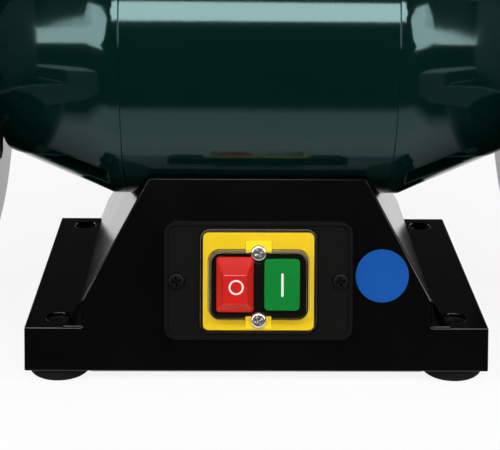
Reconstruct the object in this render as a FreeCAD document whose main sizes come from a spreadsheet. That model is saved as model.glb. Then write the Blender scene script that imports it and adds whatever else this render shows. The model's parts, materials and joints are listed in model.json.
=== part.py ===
import FreeCAD, Part
import Sketcher
import math
import os
import re

# Bench grinder. Millimetres, +X along the wheel shaft, -Y to the front, +Z up.
# The origin is the centre of the four bench bolts, on the bench.

SIZES = {
    # Folded steel base
    "foot_drop": 8,
    "skirt_height": 21,
    "base_width": 232,
    "base_depth": 160,
    "sheet": 2,
    "flange_width": 23.9,
    "knee_inset": 4.9,
    "neck_knee_height": 13.1,
    "neck_taper": 32.9,
    "seat_rise": 22.8,
    "seat_margin": 3.83,
    "notch_depth": 0.8,
    "hole_inset_x": 15.6,
    "hole_inset_y": 12.6,
    "flange_hole": 12.1,
    "lip_width": 18,
    # Rubber feet and bottom plate
    "foot_diameter": 31,
    "foot_edge": 1.5,
    "foot_pad": 7.6,
    "foot_stem": 20,
    "foot_bore": 9,
    "plate_thick": 1.2,
    "plate_clearance": 2,
    "plate_screw_inset": 16,
    "self_tapper": 4,
    # Motor shell
    "shaft_height": 152,
    "motor_diameter": 150,
    "tube_wall": 3,
    "tube_length": 132.6,
    "bell_straight": 7.3,
    "bell_length": 62.7,
    "bell_taper": 46.5,
    "bell_wall": 3.5,
    "bell_edge": 3,
    "bell_spigot": 5,
    "boss_wall": 9,
    "boss_length": 13,
    "hub_wall": 7,
    "hub_lip": 2,
    "vent_inset": 8.2,
    "vent_length": 37.5,
    "vent_width": 14,
    "vent_pitch": 43.5,
    "pocket_wall": 2.5,
    "pocket_gap": 0.5,
    "tie_inset": 21,
    "tie_bolt": 5,
    "tie_lug": 13,
    "tie_lug_length": 5.7,
    "saddle_thick": 4,
    "saddle_bolt": 8,
    "saddle_bolt_pitch": 60,
    "seat_gap": 0.3,
    "fit_gap": 0.05,
    # Motor inside
    "stator_wall": 67,
    "air_gap": 0.5,
    "stack_length": 50,
    "slot_width": 5,
    "slot_depth": 13,
    "slot_liner": 0.4,
    "winding_overhang": 18,
    "winding_yoke": 4,
    "end_ring": 6,
    "end_ring_wall": 12,
    "end_ring_step": 1,
    # Shaft and ball bearings
    "shaft_step": 2.5,
    "seat_step": 0.5,
    "tip_reach": 1.6,
    "shaft_edge": 1.5,
    "shaft_hole_gap": 4.5,
    "bearing_inset": 15,
    "bearing_bore": 17,
    "bearing_outer": 40,
    "bearing_width": 12,
    "groove_depth": 0.55,
    "race_wall": 2.45,
    "ball_play": 0.12,
    "cage_wall": 2,
    "cage_width": 5,
    "washer_thick": 0.8,
    # Grinding wheels and their clamping
    "shoulder_gap": 7,
    "wheel_diameter": 200,
    "wheel_width": 20,
    "wheel_edge": 1.5,
    "flange_diameter": 76,
    "flange_thick": 7,
    "outer_flange_thick": 6,
    "flange_bevel": 3,
    "flange_relief": 48,
    "relief_depth": 1,
    "blotter_thick": 0.7,
    "blotter_margin": 3,
    "nut_height": 10,
    "nut_clearance": 6.6,
    # Wheel guards
    "guard_gap": 16,
    "guard_sheet": 2,
    "guard_edge": 16,
    "guard_bolt": 5,
    "boss_edge": 8,
    "open_low": 22,
    "open_chord": 70,
    "open_top": 58,
    "open_reach": 84,
    "cover_sheet": 2,
    "dish_gap": 3,
    "dish_inset": 30,
    "post_inset": 6.5,
    "post_diameter": 10,
    "cover_screw": 5,
    # Tool rests
    "rest_gap": 2.5,
    "rest_drop": 2,
    "rest_width": 60,
    "rest_depth": 48,
    "rest_thick": 5,
    "arm_thick": 4.7,
    "arm_tall": 24,
    "arm_drop": 18,
    "slot_end_wall": 4,
    "rest_travel": 20,
    "rest_bolt": 8,
    "rest_bolt_drop": 30,
    "knob_diameter": 24,
    "knob_length": 11,
    "knob_cap": 2,
    "knob_room": 5.1274,
    "slide_gap": 0.3,
    # Spark plates
    "lip_thick": 2.5,
    "lip_rise": 14,
    "spark_width": 40,
    "spark_thick": 2,
    "spark_gap": 3,
    "spark_travel": 6,
    "spark_advance": 2,
    "spark_screw": 5,
    "spark_screw_rise": 6,
    "spark_pitch": 20,
    # Eye shields
    "shield_rod": 8,
    "shield_rod_y": 80,
    "shield_rod_z": 132,
    "rod_play": 1,
    "shield_bolt": 6,
    "shield_bolt_y": 35,
    "shield_bolt_z": 72,
    "bracket_thick": 3,
    "bracket_width": 18,
    "shield_inset": 5,
    "shield_width": 62,
    "shield_tall": 78,
    "shield_thick": 3,
    "shield_tilt": 37,
    "hem_wall": 2.5,
    # Switch on the leaning front panel
    "switch_rise": 23.6,
    "switch_shift": 0.6,
    "bezel_width": 93.7,
    "bezel_tall": 58.7,
    "bezel_thick": 3,
    "bezel_rim": 2,
    "bezel_rim_rise": 1,
    "bezel_corner": 6,
    "bezel_screw": 4,
    "bezel_screw_pitch": 81.5,
    "face_width": 55,
    "face_tall": 48.5,
    "face_thick": 3.2,
    "face_corner": 2,
    "window_width": 50.4,
    "window_tall": 35.2,
    "window_corner": 6,
    "tab_width": 12.9,
    "tab_rise": 0.7,
    "tab_reach": 4,
    "face_screw": 3.5,
    "face_screw_head": 8,
    "face_screw_pitch": 33.3,
    "switch_drop": 2.4,
    "cover_lip": 1.5,
    "cover_wall": 0.8,
    "cover_rise": 7,
    "housing_width": 50,
    "housing_tall": 44,
    "housing_depth": 38,
    "housing_flange": 2,
    "well_depth": 14,
    "button_gap": 0.4,
    "button_root": 10,
    "stop_width": 18.5,
    "stop_tall": 27.6,
    "stop_rise": 3,
    "stop_top_width": 11.5,
    "stop_top_tall": 13.9,
    "stop_top_drop": 2,
    "stop_top_rise": 5,
    "start_width": 17.7,
    "start_tall": 25.7,
    "start_rise": 3.6,
    "start_edge": 1.2,
    "button_pitch": 23.3,
    "button_drop": 1.6,
    # Mains cable gland and run capacitor
    "gland_x": 45,
    "gland_rise": 26,
    "gland_thread": 16,
    "gland_across": 20,
    "gland_hex": 5,
    "gland_dome": 9,
    "gland_bore": 7.2,
    "gland_thread_length": 12,
    "gland_nut_thick": 4,
    "capacitor_diameter": 35,
    "capacitor_length": 62,
    "capacitor_y": 20,
    "clamp_thick": 1.5,
    "clamp_width": 16,
    "clamp_foot": 12,
}

# Sizes that follow from the ones above
FOLLOWS = {
    "bench_hole_x": "base_width - 2 * hole_inset_x",
    "bench_hole_y": "base_depth - 2 * hole_inset_y",
    "neck_foot_width": "base_width - 2 * flange_width",
    "neck_knee_width": "neck_foot_width - 2 * knee_inset",
    "neck_top_width": "neck_knee_width - 2 * neck_taper",
    "neck_height": "shaft_height - motor_diameter / 2 + seat_rise - foot_drop - skirt_height",
    "seat_half_width": "sqrt((motor_diameter / 2 + seat_gap) ^ 2 - (motor_diameter / 2 - seat_rise) ^ 2)",
    "neck_setback": "base_depth / 2 - seat_half_width - seat_margin",
    "bell_end": "tube_length / 2 + bell_length",
    "bell_end_diameter": "motor_diameter - bell_taper",
    "hub_diameter": "bearing_outer + 2 * hub_wall",
    "boss_diameter": "hub_diameter + 2 * boss_wall",
    "vent_start": "tube_length / 2 + vent_inset",
    "tie_circle": "motor_diameter - tie_inset",
    "tie_seat": "tube_length / 2 + tie_lug_length",
    "pocket_floor": "tie_circle / 2 - 1.1 * tie_bolt - pocket_gap",
    "rotor_diameter": "motor_diameter - stator_wall",
    "shaft_core": "bearing_bore + 2 * shaft_step",
    "shaft_hole": "bearing_bore + 2 * shaft_hole_gap",
    "wheel_seat": "bearing_bore - 2 * seat_step",
    "bearing_start": "bell_end - bearing_inset",
    "bearing_land": "race_wall + groove_depth",
    "ball_diameter": "(bearing_outer - bearing_bore) / 2 - 2 * race_wall",
    "guard_start": "bell_end + boss_length",
    "wheel_shoulder": "guard_start + shoulder_gap",
    "wheel_stack": "flange_thick + 2 * blotter_thick + wheel_width + outer_flange_thick",
    "guard_depth": "shoulder_gap + wheel_stack + nut_clearance",
    "guard_diameter": "wheel_diameter + 2 * guard_gap",
    "guard_bolt_circle": "boss_diameter - 2 * boss_edge",
    "nut_across": "1.5 * wheel_seat",
    "shaft_tip": "wheel_shoulder + wheel_stack + nut_height + tip_reach",
    "cover_dish": "nut_height + tip_reach + dish_gap - nut_clearance",
    "cover_dish_diameter": "guard_diameter - 2 * dish_inset",
    "post_circle": "guard_diameter - 2 * post_inset",
    "rest_bolt_reach": "bell_end_diameter / 2 + knob_diameter / 2 + knob_room",
    "rest_bolt_y": "sqrt(rest_bolt_reach ^ 2 - rest_bolt_drop ^ 2)",
    "arm_tail": "rest_bolt_y - rest_travel - rest_bolt / 2 - slot_end_wall",
    "shield_start": "guard_start + shield_inset",
}

ALONG_X = FreeCAD.Rotation(FreeCAD.Vector(0, 1, 0), 90)
ALONG_Z = FreeCAD.Rotation()
WEDGE_UP = FreeCAD.Rotation(FreeCAD.Vector(1, 0, 0), 90)
X_AXIS = FreeCAD.Vector(1, 0, 0)

doc = FreeCAD.newDocument("bench_grinder")
sheet = doc.addObject("Spreadsheet::Sheet", "Sizes")
for row, (alias, value) in enumerate(SIZES.items(), start=1):
    sheet.set(f"A{row}", alias)
    sheet.set(f"B{row}", str(value))
    sheet.setAlias(f"B{row}", alias)
doc.recompute()

nodes = []


def cell(formula):
    # Each named size becomes its sheet cell, and each that follows from others its own formula.
    def spelled(word):
        if word[0] in FOLLOWS:
            return f"({cell(FOLLOWS[word[0]])})"
        return f"Sizes.{word[0]}" if word[0] in SIZES else word[0]
    return re.sub(r"[a-z_]+", spelled, formula)


def value(formula):
    return float(sheet.evalExpression(cell(formula)))


def bind(item, **formulas):
    for name, formula in formulas.items():
        item.setExpression(name, cell(formula))
    return item


def place(item, x="0", y="0", z="0", turn=ALONG_Z):
    item.Placement = FreeCAD.Placement(FreeCAD.Vector(), turn)
    for axis, formula in zip("xyz", (x, y, z)):
        item.setExpression(f"Placement.Base.{axis}", cell(formula))
    return item


def box(width, depth, height, x="0", y="0", z="0"):
    # Centred in X and Y, standing on z.
    item = bind(doc.addObject("Part::Box", "box"), Length=width, Width=depth, Height=height)
    return place(item, f"{x} - ({width}) / 2", f"{y} - ({depth}) / 2", z)


def rod(diameter, length, x="0", y="0", z="0", turn=ALONG_Z):
    item = bind(doc.addObject("Part::Cylinder", "rod"), Radius=f"({diameter}) / 2", Height=length)
    return place(item, x, y, z, turn)


def hexagon(across, length, x="0", y="0", z="0", turn=ALONG_Z):
    item = bind(doc.addObject("Part::Prism", "hexagon"), Circumradius=f"({across}) / sqrt(3)", Height=length)
    item.Polygon = 6
    return place(item, x, y, z, turn)


def ball(diameter, x="0", y="0", z="0"):
    item = bind(doc.addObject("Part::Sphere", "ball"), Radius=f"({diameter}) / 2")
    return place(item, x, y, z)


def taper(low_width, low_depth, low_z, high_width, high_depth, high_z):
    # A rectangle at low_z drawn to another at high_z, both centred in X and Y.
    item = bind(
        doc.addObject("Part::Wedge", "taper"),
        Xmin=f"-({low_width}) / 2", Xmax=f"({low_width}) / 2",
        Zmin=f"-({low_depth}) / 2", Zmax=f"({low_depth}) / 2",
        X2min=f"-({high_width}) / 2", X2max=f"({high_width}) / 2",
        Z2min=f"-({high_depth}) / 2", Z2max=f"({high_depth}) / 2",
        Ymin=low_z, Ymax=high_z,
    )
    item.Placement = FreeCAD.Placement(FreeCAD.Vector(), WEDGE_UP)
    return item


def fuse(*items):
    item = doc.addObject("Part::MultiFuse", "fuse")
    item.Shapes = list(items)
    item.Refine = True
    return item


def group(*items):
    item = doc.addObject("Part::Compound", "group")
    item.Links = list(items)
    return item


def cut(base, *tools):
    item = doc.addObject("Part::Cut", "cut")
    item.Base = base
    item.Tool = tools[0] if len(tools) == 1 else group(*tools)
    item.Refine = True
    return item


def common(first, second):
    item = doc.addObject("Part::MultiCommon", "common")
    item.Shapes = [first, second]
    item.Refine = True
    return item


def mirrored(item):
    image = doc.addObject("Part::Mirroring", "mirrored")
    image.Source = item
    image.Normal = X_AXIS
    return image


def turned(item, angle, x="0", y="0", z="shaft_height"):
    # Turned about the X axis by a formula in degrees, then moved.
    item.Placement = FreeCAD.Placement(FreeCAD.Vector(), FreeCAD.Rotation(X_AXIS, 1))
    bind(item, **{"Placement.Base.x": x, "Placement.Base.y": y, "Placement.Base.z": z})
    return bind(item, **{"Placement.Rotation.Angle": angle})


def sketch_on(body, plane, corners):
    # A closed outline whose corners are held by their distances from the origin.
    sketch = body.newObject("Sketcher::SketchObject", "outline")
    support = [feature for feature in body.Origin.OriginFeatures if feature.Role == plane][0]
    sketch.AttachmentSupport = [(support, "")]
    sketch.MapMode = "FlatFace"
    count = len(corners)
    angles = [2 * math.pi * index / count for index in range(count)]
    starts = [FreeCAD.Vector(10 * math.cos(angle), 10 * math.sin(angle), 0) for angle in angles]
    for index in range(count):
        sketch.addGeometry(Part.LineSegment(starts[index], starts[(index + 1) % count]), False)
    for index in range(count):
        sketch.addConstraint(Sketcher.Constraint("Coincident", index, 2, (index + 1) % count, 1))
    for index, (across, along) in enumerate(corners):
        held = Sketcher.Constraint("DistanceX", -1, 1, index, 1, starts[index].x)
        sketch.setExpression(f"Constraints[{sketch.addConstraint(held)}]", cell(across))
        held = Sketcher.Constraint("DistanceY", -1, 1, index, 1, starts[index].y)
        sketch.setExpression(f"Constraints[{sketch.addConstraint(held)}]", cell(along))
    return sketch


def spun(corners, plane="XY_Plane", axis="H_Axis"):
    body = doc.addObject("PartDesign::Body", "spun")
    turning = body.newObject("PartDesign::Revolution", "turning")
    turning.Profile = sketch_on(body, plane, corners)
    turning.ReferenceAxis = (turning.Profile[0], [axis])
    turning.Angle = 360
    return body


def on_shaft(corners):
    # Turned about the shaft axis from (x, radius) corners.
    return place(spun(corners), z="shaft_height")


def prism_along_x(corners, start, length):
    # An outline of (y, z) corners, drawn along X from start.
    body = doc.addObject("PartDesign::Body", "prism")
    pad = body.newObject("PartDesign::Pad", "pad")
    pad.Profile = sketch_on(body, "YZ_Plane", corners)
    bind(pad, Length=length)
    return place(body, x=start)


def rounded_slab(width, depth, height, corner):
    # A plate on the XY plane with its four upright edges rounded.
    body = doc.addObject("PartDesign::Body", "slab")
    pad = body.newObject("PartDesign::Pad", "pad")
    sides = [(-1, -1), (1, -1), (1, 1), (-1, 1)]
    corners = [(f"{u} * ({width}) / 2", f"{v} * ({depth}) / 2") for u, v in sides]
    pad.Profile = sketch_on(body, "XY_Plane", corners)
    bind(pad, Length=height)
    doc.recompute()
    round_edges(body, corner, lambda edge: abs(edge.tangentAt(edge.FirstParameter).z) > 0.99)
    return body


def round_edges(body, radius, wanted):
    last = body.Tip
    picked = [f"Edge{number}" for number, edge in enumerate(last.Shape.Edges, start=1) if wanted(edge)]
    fillet = body.newObject("PartDesign::Fillet", "fillet")
    fillet.Base = (last, picked)
    bind(fillet, Radius=radius)


def circle_at(x, radius):
    # Picks the full circle of that radius in the plane at x, in the body's own frame.
    plane_x = value(x)
    reach = value(radius)

    def wanted(edge):
        bounds = edge.BoundBox
        flat = abs(bounds.XMin - plane_x) < 0.001 and abs(bounds.XMax - plane_x) < 0.001
        return flat and len(edge.Vertexes) == 1 and abs(bounds.ZMax - reach) < 0.001
    return wanted


def node(label, item):
    item.Label = label
    nodes.append(item)
    return item


def both_sides(label, item):
    node(f"{label}_right", item)
    return node(f"{label}_left", mirrored(item))


def on_panel(item, x="0"):
    # From the panel's own frame, X across, Y up the panel, Z out of it, to the leaning front.
    angle = "90 deg - atan(neck_setback / neck_height)"
    return turned(item, angle, x, "-base_depth / 2", "foot_drop + skirt_height")


def on_switch(item):
    return on_panel(item, "switch_shift")


def on_rear_panel(item):
    front = on_panel(item)
    image = doc.addObject("Part::Mirroring", "rear")
    image.Source = front
    image.Normal = FreeCAD.Vector(0, 1, 0)
    return image


flange_z = "(foot_drop + skirt_height)"
slope = "(neck_setback / neck_height)"
plate_width = "(bench_hole_x - foot_diameter - 2 * plate_clearance)"
bench_corners = [(u, v) for u in (-1, 1) for v in (-1, 1)]


# Base pedestal: skirt, side flanges and hollow neck of folded sheet

def neck(low_z, wall):
    knee_z = f"{flange_z} + neck_knee_height"
    low_depth = f"base_depth + 2 * ({flange_z} - ({low_z})) * {slope} - 2 * {wall}"
    knee_depth = f"base_depth - 2 * neck_knee_height * {slope} - 2 * {wall}"
    top_depth = f"base_depth - 2 * neck_setback - 2 * {wall}"
    lower = taper(f"neck_foot_width - 2 * {wall}", low_depth, low_z,
                  f"neck_knee_width - 2 * {wall}", knee_depth, knee_z)
    upper = taper(f"neck_knee_width - 2 * {wall}", knee_depth, knee_z,
                  f"neck_top_width - 2 * {wall}", top_depth, f"{flange_z} + neck_height")
    return fuse(lower, upper)


def skirt(wall, top_z):
    low_depth = f"base_depth + 2 * skirt_height * {slope} - 2 * {wall}"
    high_depth = f"base_depth + 2 * ({flange_z} - ({top_z})) * {slope} - 2 * {wall}"
    width = f"base_width - 2 * {wall}"
    return taper(width, low_depth, "foot_drop", width, high_depth, top_z)


def corner_notches():
    edge = "neck_knee_width / 2"
    tall = f"neck_knee_height * sqrt(1 + {slope} ^ 2)"
    parts = []
    for side in (-1, 1):
        x = f"{side} * ({edge} + knee_inset)"
        parts.append(box("2 * knee_inset", tall, "2 * notch_depth", x, f"{tall} / 2", "-notch_depth"))
    return group(*parts)


def bench_rods(diameter, low, high):
    rods = []
    for u, v in bench_corners:
        x = f"{u} * bench_hole_x / 2"
        y = f"{v} * bench_hole_y / 2"
        rods.append(rod(diameter, f"({high}) - ({low})", x, y, low))
    return rods


def skirt_lips():
    reach = f"base_depth / 2 + skirt_height * {slope} - sheet"
    lips = []
    for side in (-1, 1):
        y = f"{side} * ({reach} - lip_width / 2)"
        lips.append(box(plate_width, "lip_width", "sheet", y=y, z="foot_drop"))
    return lips


def plate_screw_places():
    x = f"({plate_width} / 2 - plate_screw_inset)"
    y = f"(base_depth / 2 + skirt_height * {slope} - sheet - lip_width / 2)"
    return [(f"{u} * {x}", f"{v} * {y}") for u, v in bench_corners]


def motor_seat(radius):
    return rod(f"2 * ({radius})", "base_width", "-base_width / 2", z="shaft_height", turn=ALONG_X)


def panel_openings():
    hole = box("housing_width + 2 * button_gap", "housing_tall + 2 * button_gap", "8 * sheet",
               y="switch_rise", z="-4 * sheet")
    screws = [rod("bezel_screw + 2 * fit_gap", "8 * sheet", f"{side} * bezel_screw_pitch / 2", "switch_rise",
                  "-4 * sheet") for side in (-1, 1)]
    return on_switch(group(hole, *screws))


def gland_opening():
    hole = rod("gland_thread + 4 * fit_gap", "8 * sheet", "gland_x", "gland_rise", "-4 * sheet")
    return on_rear_panel(group(hole))


shell = cut(
    fuse(skirt("0", flange_z), neck(flange_z, "0")),
    skirt("sheet", f"{flange_z} - sheet"),
    neck(f"{flange_z} - sheet", "sheet"),
    motor_seat("motor_diameter / 2 + seat_gap"),
    panel_openings(),
    gland_opening(),
    on_panel(corner_notches()),
    *bench_rods("flange_hole", f"{flange_z} - 2 * sheet", f"{flange_z} + sheet"),
)
lip_holes = [rod("self_tapper + 2 * fit_gap", "3 * sheet", x, y, "foot_drop - sheet")
             for x, y in plate_screw_places()]
node("base_pedestal", cut(fuse(shell, *skirt_lips()), *lip_holes))


# Rubber feet, bored for the bench bolts

for u, v in bench_corners:
    stem_top = f"{flange_z} - sheet"
    foot = spun([
        ("foot_bore / 2", "0"),
        ("foot_diameter / 2 - foot_edge", "0"),
        ("foot_diameter / 2", "foot_edge"),
        ("foot_diameter / 2", "foot_pad"),
        ("foot_stem / 2", "foot_pad"),
        ("foot_stem / 2", stem_top),
        ("foot_bore / 2", stem_top),
    ], "XZ_Plane", "V_Axis")
    place(foot, f"{u} * bench_hole_x / 2", f"{v} * bench_hole_y / 2")
    node(f"foot_{'front' if v < 0 else 'rear'}_{'left' if u < 0 else 'right'}", foot)


# Bottom plate and its screws

plate_depth = f"base_depth + 2 * skirt_height * {slope} - 2 * sheet"
plate_holes = [rod("self_tapper + 2 * fit_gap", "4 * plate_thick", x, y, "foot_drop - 2 * plate_thick")
               for x, y in plate_screw_places()]
plate = box(plate_width, plate_depth, "plate_thick", z="foot_drop - plate_thick")
node("bottom_plate", cut(plate, *plate_holes))


def screw_up(diameter, x, y, head_z, length):
    # A pan-head screw whose head hangs below head_z.
    head = rod(f"2 * {diameter}", f"0.35 * {diameter}", x, y, f"{head_z} - 0.35 * {diameter}")
    return fuse(head, rod(diameter, length, x, y, head_z))


node("bottom_plate_screws", group(*[
    screw_up("self_tapper", x, y, "(foot_drop - plate_thick)", "plate_thick + 3 * sheet")
    for x, y in plate_screw_places()
]))


# Motor saddle: a curved plate that closes the neck under the motor

saddle_outer = "motor_diameter / 2 + seat_gap + saddle_thick"
saddle_bolts_x = [f"{side} * saddle_bolt_pitch / 2" for side in (-1, 1)]
trough = cut(motor_seat(saddle_outer), motor_seat("motor_diameter / 2 + seat_gap"))
saddle_holes = [rod("saddle_bolt + 2 * fit_gap", "shaft_height - foot_drop", x, "0", "foot_drop")
                for x in saddle_bolts_x]
node("motor_saddle", cut(common(trough, neck(f"{flange_z} - sheet", "sheet")), *saddle_holes))

saddle_head_z = f"(shaft_height - ({saddle_outer}) - fit_gap)"
saddle_grip = "saddle_thick + tube_wall"
node("saddle_bolts", group(*[
    fuse(
        hexagon("1.6 * saddle_bolt", "0.65 * saddle_bolt", x, "0", f"{saddle_head_z} - 0.65 * saddle_bolt"),
        rod("saddle_bolt", saddle_grip, x, "0", saddle_head_z),
    )
    for x in saddle_bolts_x
]))


# Motor tube and end bells

tube = cut(
    rod("motor_diameter", "tube_length", "-tube_length / 2", z="shaft_height", turn=ALONG_X),
    rod("motor_diameter - 2 * tube_wall", "2 * tube_length", "-tube_length", z="shaft_height", turn=ALONG_X),
    *[rod("saddle_bolt + 2 * fit_gap", "shaft_height", x) for x in saddle_bolts_x],
)
node("motor_tube", tube)


def tie_rods(diameter, start, length):
    return [turned(group(rod(diameter, length, start, "0", "-tie_circle / 2", ALONG_X)), angle)
            for angle in ("vent_pitch", "-vent_pitch", "180 - vent_pitch", "vent_pitch - 180")]


def vent(angle, tall="motor_diameter / 4"):
    straight = "vent_length - vent_width / 2"
    low = "-0.51 * motor_diameter"
    slot = box(straight, "vent_width", tall, f"vent_start + ({straight}) / 2", "0", low)
    end = rod("vent_width", tall, f"vent_start + {straight}", "0", low)
    return turned(group(slot, end), angle)


def pocket_walls(angle):
    length = "(vent_start + vent_length + pocket_wall - tie_seat)"
    block = box(length, "vent_width + 2 * pocket_wall", "motor_diameter / 2 - pocket_floor + pocket_wall",
                f"tie_seat + {length} / 2", "0", "-motor_diameter / 2")
    return turned(group(block), angle)


spigot_diameter = "(motor_diameter - 2 * tube_wall - 2 * fit_gap)"
bell_turning = on_shaft([
    ("tube_length / 2 - bell_spigot", f"{spigot_diameter} / 2"),
    ("tube_length / 2", f"{spigot_diameter} / 2"),
    ("tube_length / 2", "motor_diameter / 2"),
    ("tube_length / 2 + bell_straight", "motor_diameter / 2"),
    ("bell_end", "bell_end_diameter / 2"),
    ("bell_end", "boss_diameter / 2"),
    ("guard_start", "boss_diameter / 2"),
    ("guard_start", "shaft_hole / 2"),
    ("bearing_start + bearing_width + washer_thick", "shaft_hole / 2"),
    ("bearing_start + bearing_width + washer_thick", "bearing_outer / 2 + fit_gap"),
    ("bearing_start - hub_lip", "bearing_outer / 2 + fit_gap"),
    ("bearing_start - hub_lip", "hub_diameter / 2"),
    ("bell_end - bell_wall", "hub_diameter / 2"),
    ("bell_end - bell_wall", "bell_end_diameter / 2 - bell_wall"),
    ("tube_length / 2 + bell_straight", f"{spigot_diameter} / 2 - bell_wall"),
    ("tube_length / 2 - bell_spigot", f"{spigot_diameter} / 2 - bell_wall"),
])
doc.recompute()
round_edges(bell_turning, "bell_edge", circle_at("bell_end", "bell_end_diameter / 2"))
bell_lugs = tie_rods("tie_lug", "tube_length / 2", "tie_seat - tube_length / 2")
# The two lower tie bolts sit in pockets that run out at the bell's cone.
bell_form = on_shaft([
    ("tube_length / 2", "boss_diameter / 2"),
    ("tube_length / 2", "motor_diameter / 2"),
    ("tube_length / 2 + bell_straight", "motor_diameter / 2"),
    ("bell_end", "bell_end_diameter / 2"),
    ("bell_end", "boss_diameter / 2"),
])
pocket_angles = ("vent_pitch", "-vent_pitch")
bolt_pockets = common(fuse(*[pocket_walls(angle) for angle in pocket_angles]), bell_form)
guard_bolt_places = []
for angle in [math.radians(90 + 120 * index) for index in range(3)]:
    y = f"guard_bolt_circle / 2 * {math.cos(angle):.6f}"
    z = f"shaft_height + guard_bolt_circle / 2 * {math.sin(angle):.6f}"
    guard_bolt_places.append((y, z))
guard_bolt_holes = [rod("guard_bolt + 2 * fit_gap", "guard_start - bell_end", "bell_end", y, z, ALONG_X)
                    for y, z in guard_bolt_places]
bell = cut(
    fuse(bell_turning, *bell_lugs, bolt_pockets),
    *tie_rods("tie_bolt + 4 * fit_gap", "tube_length / 2 - bell_spigot", "tie_seat"),
    *tie_rods("2.2 * tie_bolt", "tie_seat", "bell_end - tie_seat"),
    vent("0"),
    *[vent(angle, "0.51 * motor_diameter - pocket_floor") for angle in pocket_angles],
    *guard_bolt_holes,
)
both_sides("end_bell", bell)

node("tie_bolts", group(*[
    fuse(*pieces)
    for pieces in zip(
        tie_rods("tie_bolt", "-tie_seat", "2 * tie_seat"),
        tie_rods("1.7 * tie_bolt", "tie_seat", "tie_bolt"),
        tie_rods("1.7 * tie_bolt", "-tie_seat - tie_bolt", "tie_bolt"),
    )
]))


# Stator and windings

slot_count = 24
stator_bore = "(rotor_diameter + 2 * air_gap)"


def washer(start, thick, diameter, bore):
    ring = rod(diameter, thick, start, z="shaft_height", turn=ALONG_X)
    return cut(ring, rod(bore, f"3 * ({thick})", f"{start} - {thick}", z="shaft_height", turn=ALONG_X))


def slot_bars(width, inner, outer, length):
    bars = []
    for index in range(slot_count):
        bar = box(length, width, f"({outer}) - ({inner})", z=f"-({outer})")
        bars.append(turned(group(bar), str(index * 360 / slot_count)))
    return bars


stack = cut(
    rod(f"{spigot_diameter}", "stack_length", "-stack_length / 2", z="shaft_height", turn=ALONG_X),
    rod(stator_bore, "2 * stack_length", "-stack_length", z="shaft_height", turn=ALONG_X),
    *slot_bars("slot_width", f"{stator_bore} / 4", f"{stator_bore} / 2 + slot_depth", "2 * stack_length"),
    *tie_rods("tie_bolt + 4 * fit_gap", "-stack_length", "2 * stack_length"),
)
node("stator_core", stack)

coil_inner = f"{stator_bore} / 2 + 4 * slot_liner"
coil_outer = f"{stator_bore} / 2 + slot_depth - slot_liner"


def winding_ring(start):
    across = f"2 * ({coil_outer} + winding_yoke)"
    return washer(start, "winding_overhang", across, f"{stator_bore} + 4 * slot_liner")


node("stator_windings", fuse(
    winding_ring("(stack_length / 2)"),
    winding_ring("(-stack_length / 2 - winding_overhang)"),
    *slot_bars("slot_width - 2 * slot_liner", coil_inner, coil_outer, "stack_length + winding_overhang"),
))


# Rotor and shaft

rotor_ring = "rotor_diameter - 2 * end_ring_step"
node("rotor_core", cut(
    fuse(
        rod("rotor_diameter", "stack_length", "-stack_length / 2", z="shaft_height", turn=ALONG_X),
        cut(
            rod(rotor_ring, "stack_length + 2 * end_ring", "-stack_length / 2 - end_ring", z="shaft_height",
                turn=ALONG_X),
            rod(f"{rotor_ring} - 2 * end_ring_wall", "2 * stack_length + 2 * end_ring",
                "-stack_length - end_ring", z="shaft_height", turn=ALONG_X),
        ),
    ),
    rod("shaft_core + 2 * fit_gap", "2 * stack_length", "-stack_length", z="shaft_height", turn=ALONG_X),
))

shaft_steps = [
    ("shaft_tip", "wheel_seat / 2 - shaft_edge"),
    ("shaft_tip - shaft_edge", "wheel_seat / 2"),
    ("wheel_shoulder", "wheel_seat / 2"),
    ("wheel_shoulder", "bearing_bore / 2"),
    ("bearing_start", "bearing_bore / 2"),
    ("bearing_start", "shaft_core / 2"),
]
node("rotor_shaft", on_shaft(
    [("shaft_tip", "0")] + shaft_steps
    + [(f"-({x})", radius) for x, radius in reversed(shaft_steps)] + [("-shaft_tip", "0")]
))


# Ball bearings and the preload washer

ball_circle = "((bearing_bore + bearing_outer) / 4)"
bearing_mid = "bearing_start + bearing_width / 2"


def bearing_ring(inner, outer):
    ring = washer("bearing_start", "bearing_width", f"2 * ({outer})", f"2 * ({inner})")
    groove = bind(doc.addObject("Part::Torus", "groove"), Radius1=ball_circle,
                  Radius2="ball_diameter / 2 + ball_play")
    place(groove, bearing_mid, "0", "shaft_height", ALONG_X)
    return cut(ring, groove)


outer_ring = bearing_ring("bearing_outer / 2 - bearing_land", "bearing_outer / 2")
inner_ring = bearing_ring("bearing_bore / 2 + fit_gap", "bearing_bore / 2 + bearing_land")
node("bearing_outer_rings", group(outer_ring, mirrored(outer_ring)))
node("bearing_inner_rings", group(inner_ring, mirrored(inner_ring)))

ball_count = 8
cage = washer(f"({bearing_mid} - cage_width / 2)", "cage_width", f"2 * {ball_circle} + cage_wall",
              f"2 * {ball_circle} - cage_wall")
balls = []
for index in range(ball_count):
    angle = 2 * math.pi * index / ball_count
    y = f"{ball_circle} * {math.cos(angle):.6f}"
    z = f"shaft_height + {ball_circle} * {math.sin(angle):.6f}"
    balls.append(ball("ball_diameter", bearing_mid, y, z))
both_sides("bearing_balls", fuse(cage, *balls))

node("wave_washer", washer("(bearing_start + bearing_width)", "washer_thick", "bearing_outer - washer_thick",
                           "bearing_outer - 2 * bearing_land"))


# Grinding wheels, flanges, paper blotters and nuts

wheel_start = "(wheel_shoulder + flange_thick + blotter_thick)"
outer_start = f"({wheel_start} + wheel_width + blotter_thick)"
nut_start = f"({outer_start} + outer_flange_thick)"
seat_radius = "wheel_seat / 2 + fit_gap"

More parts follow.
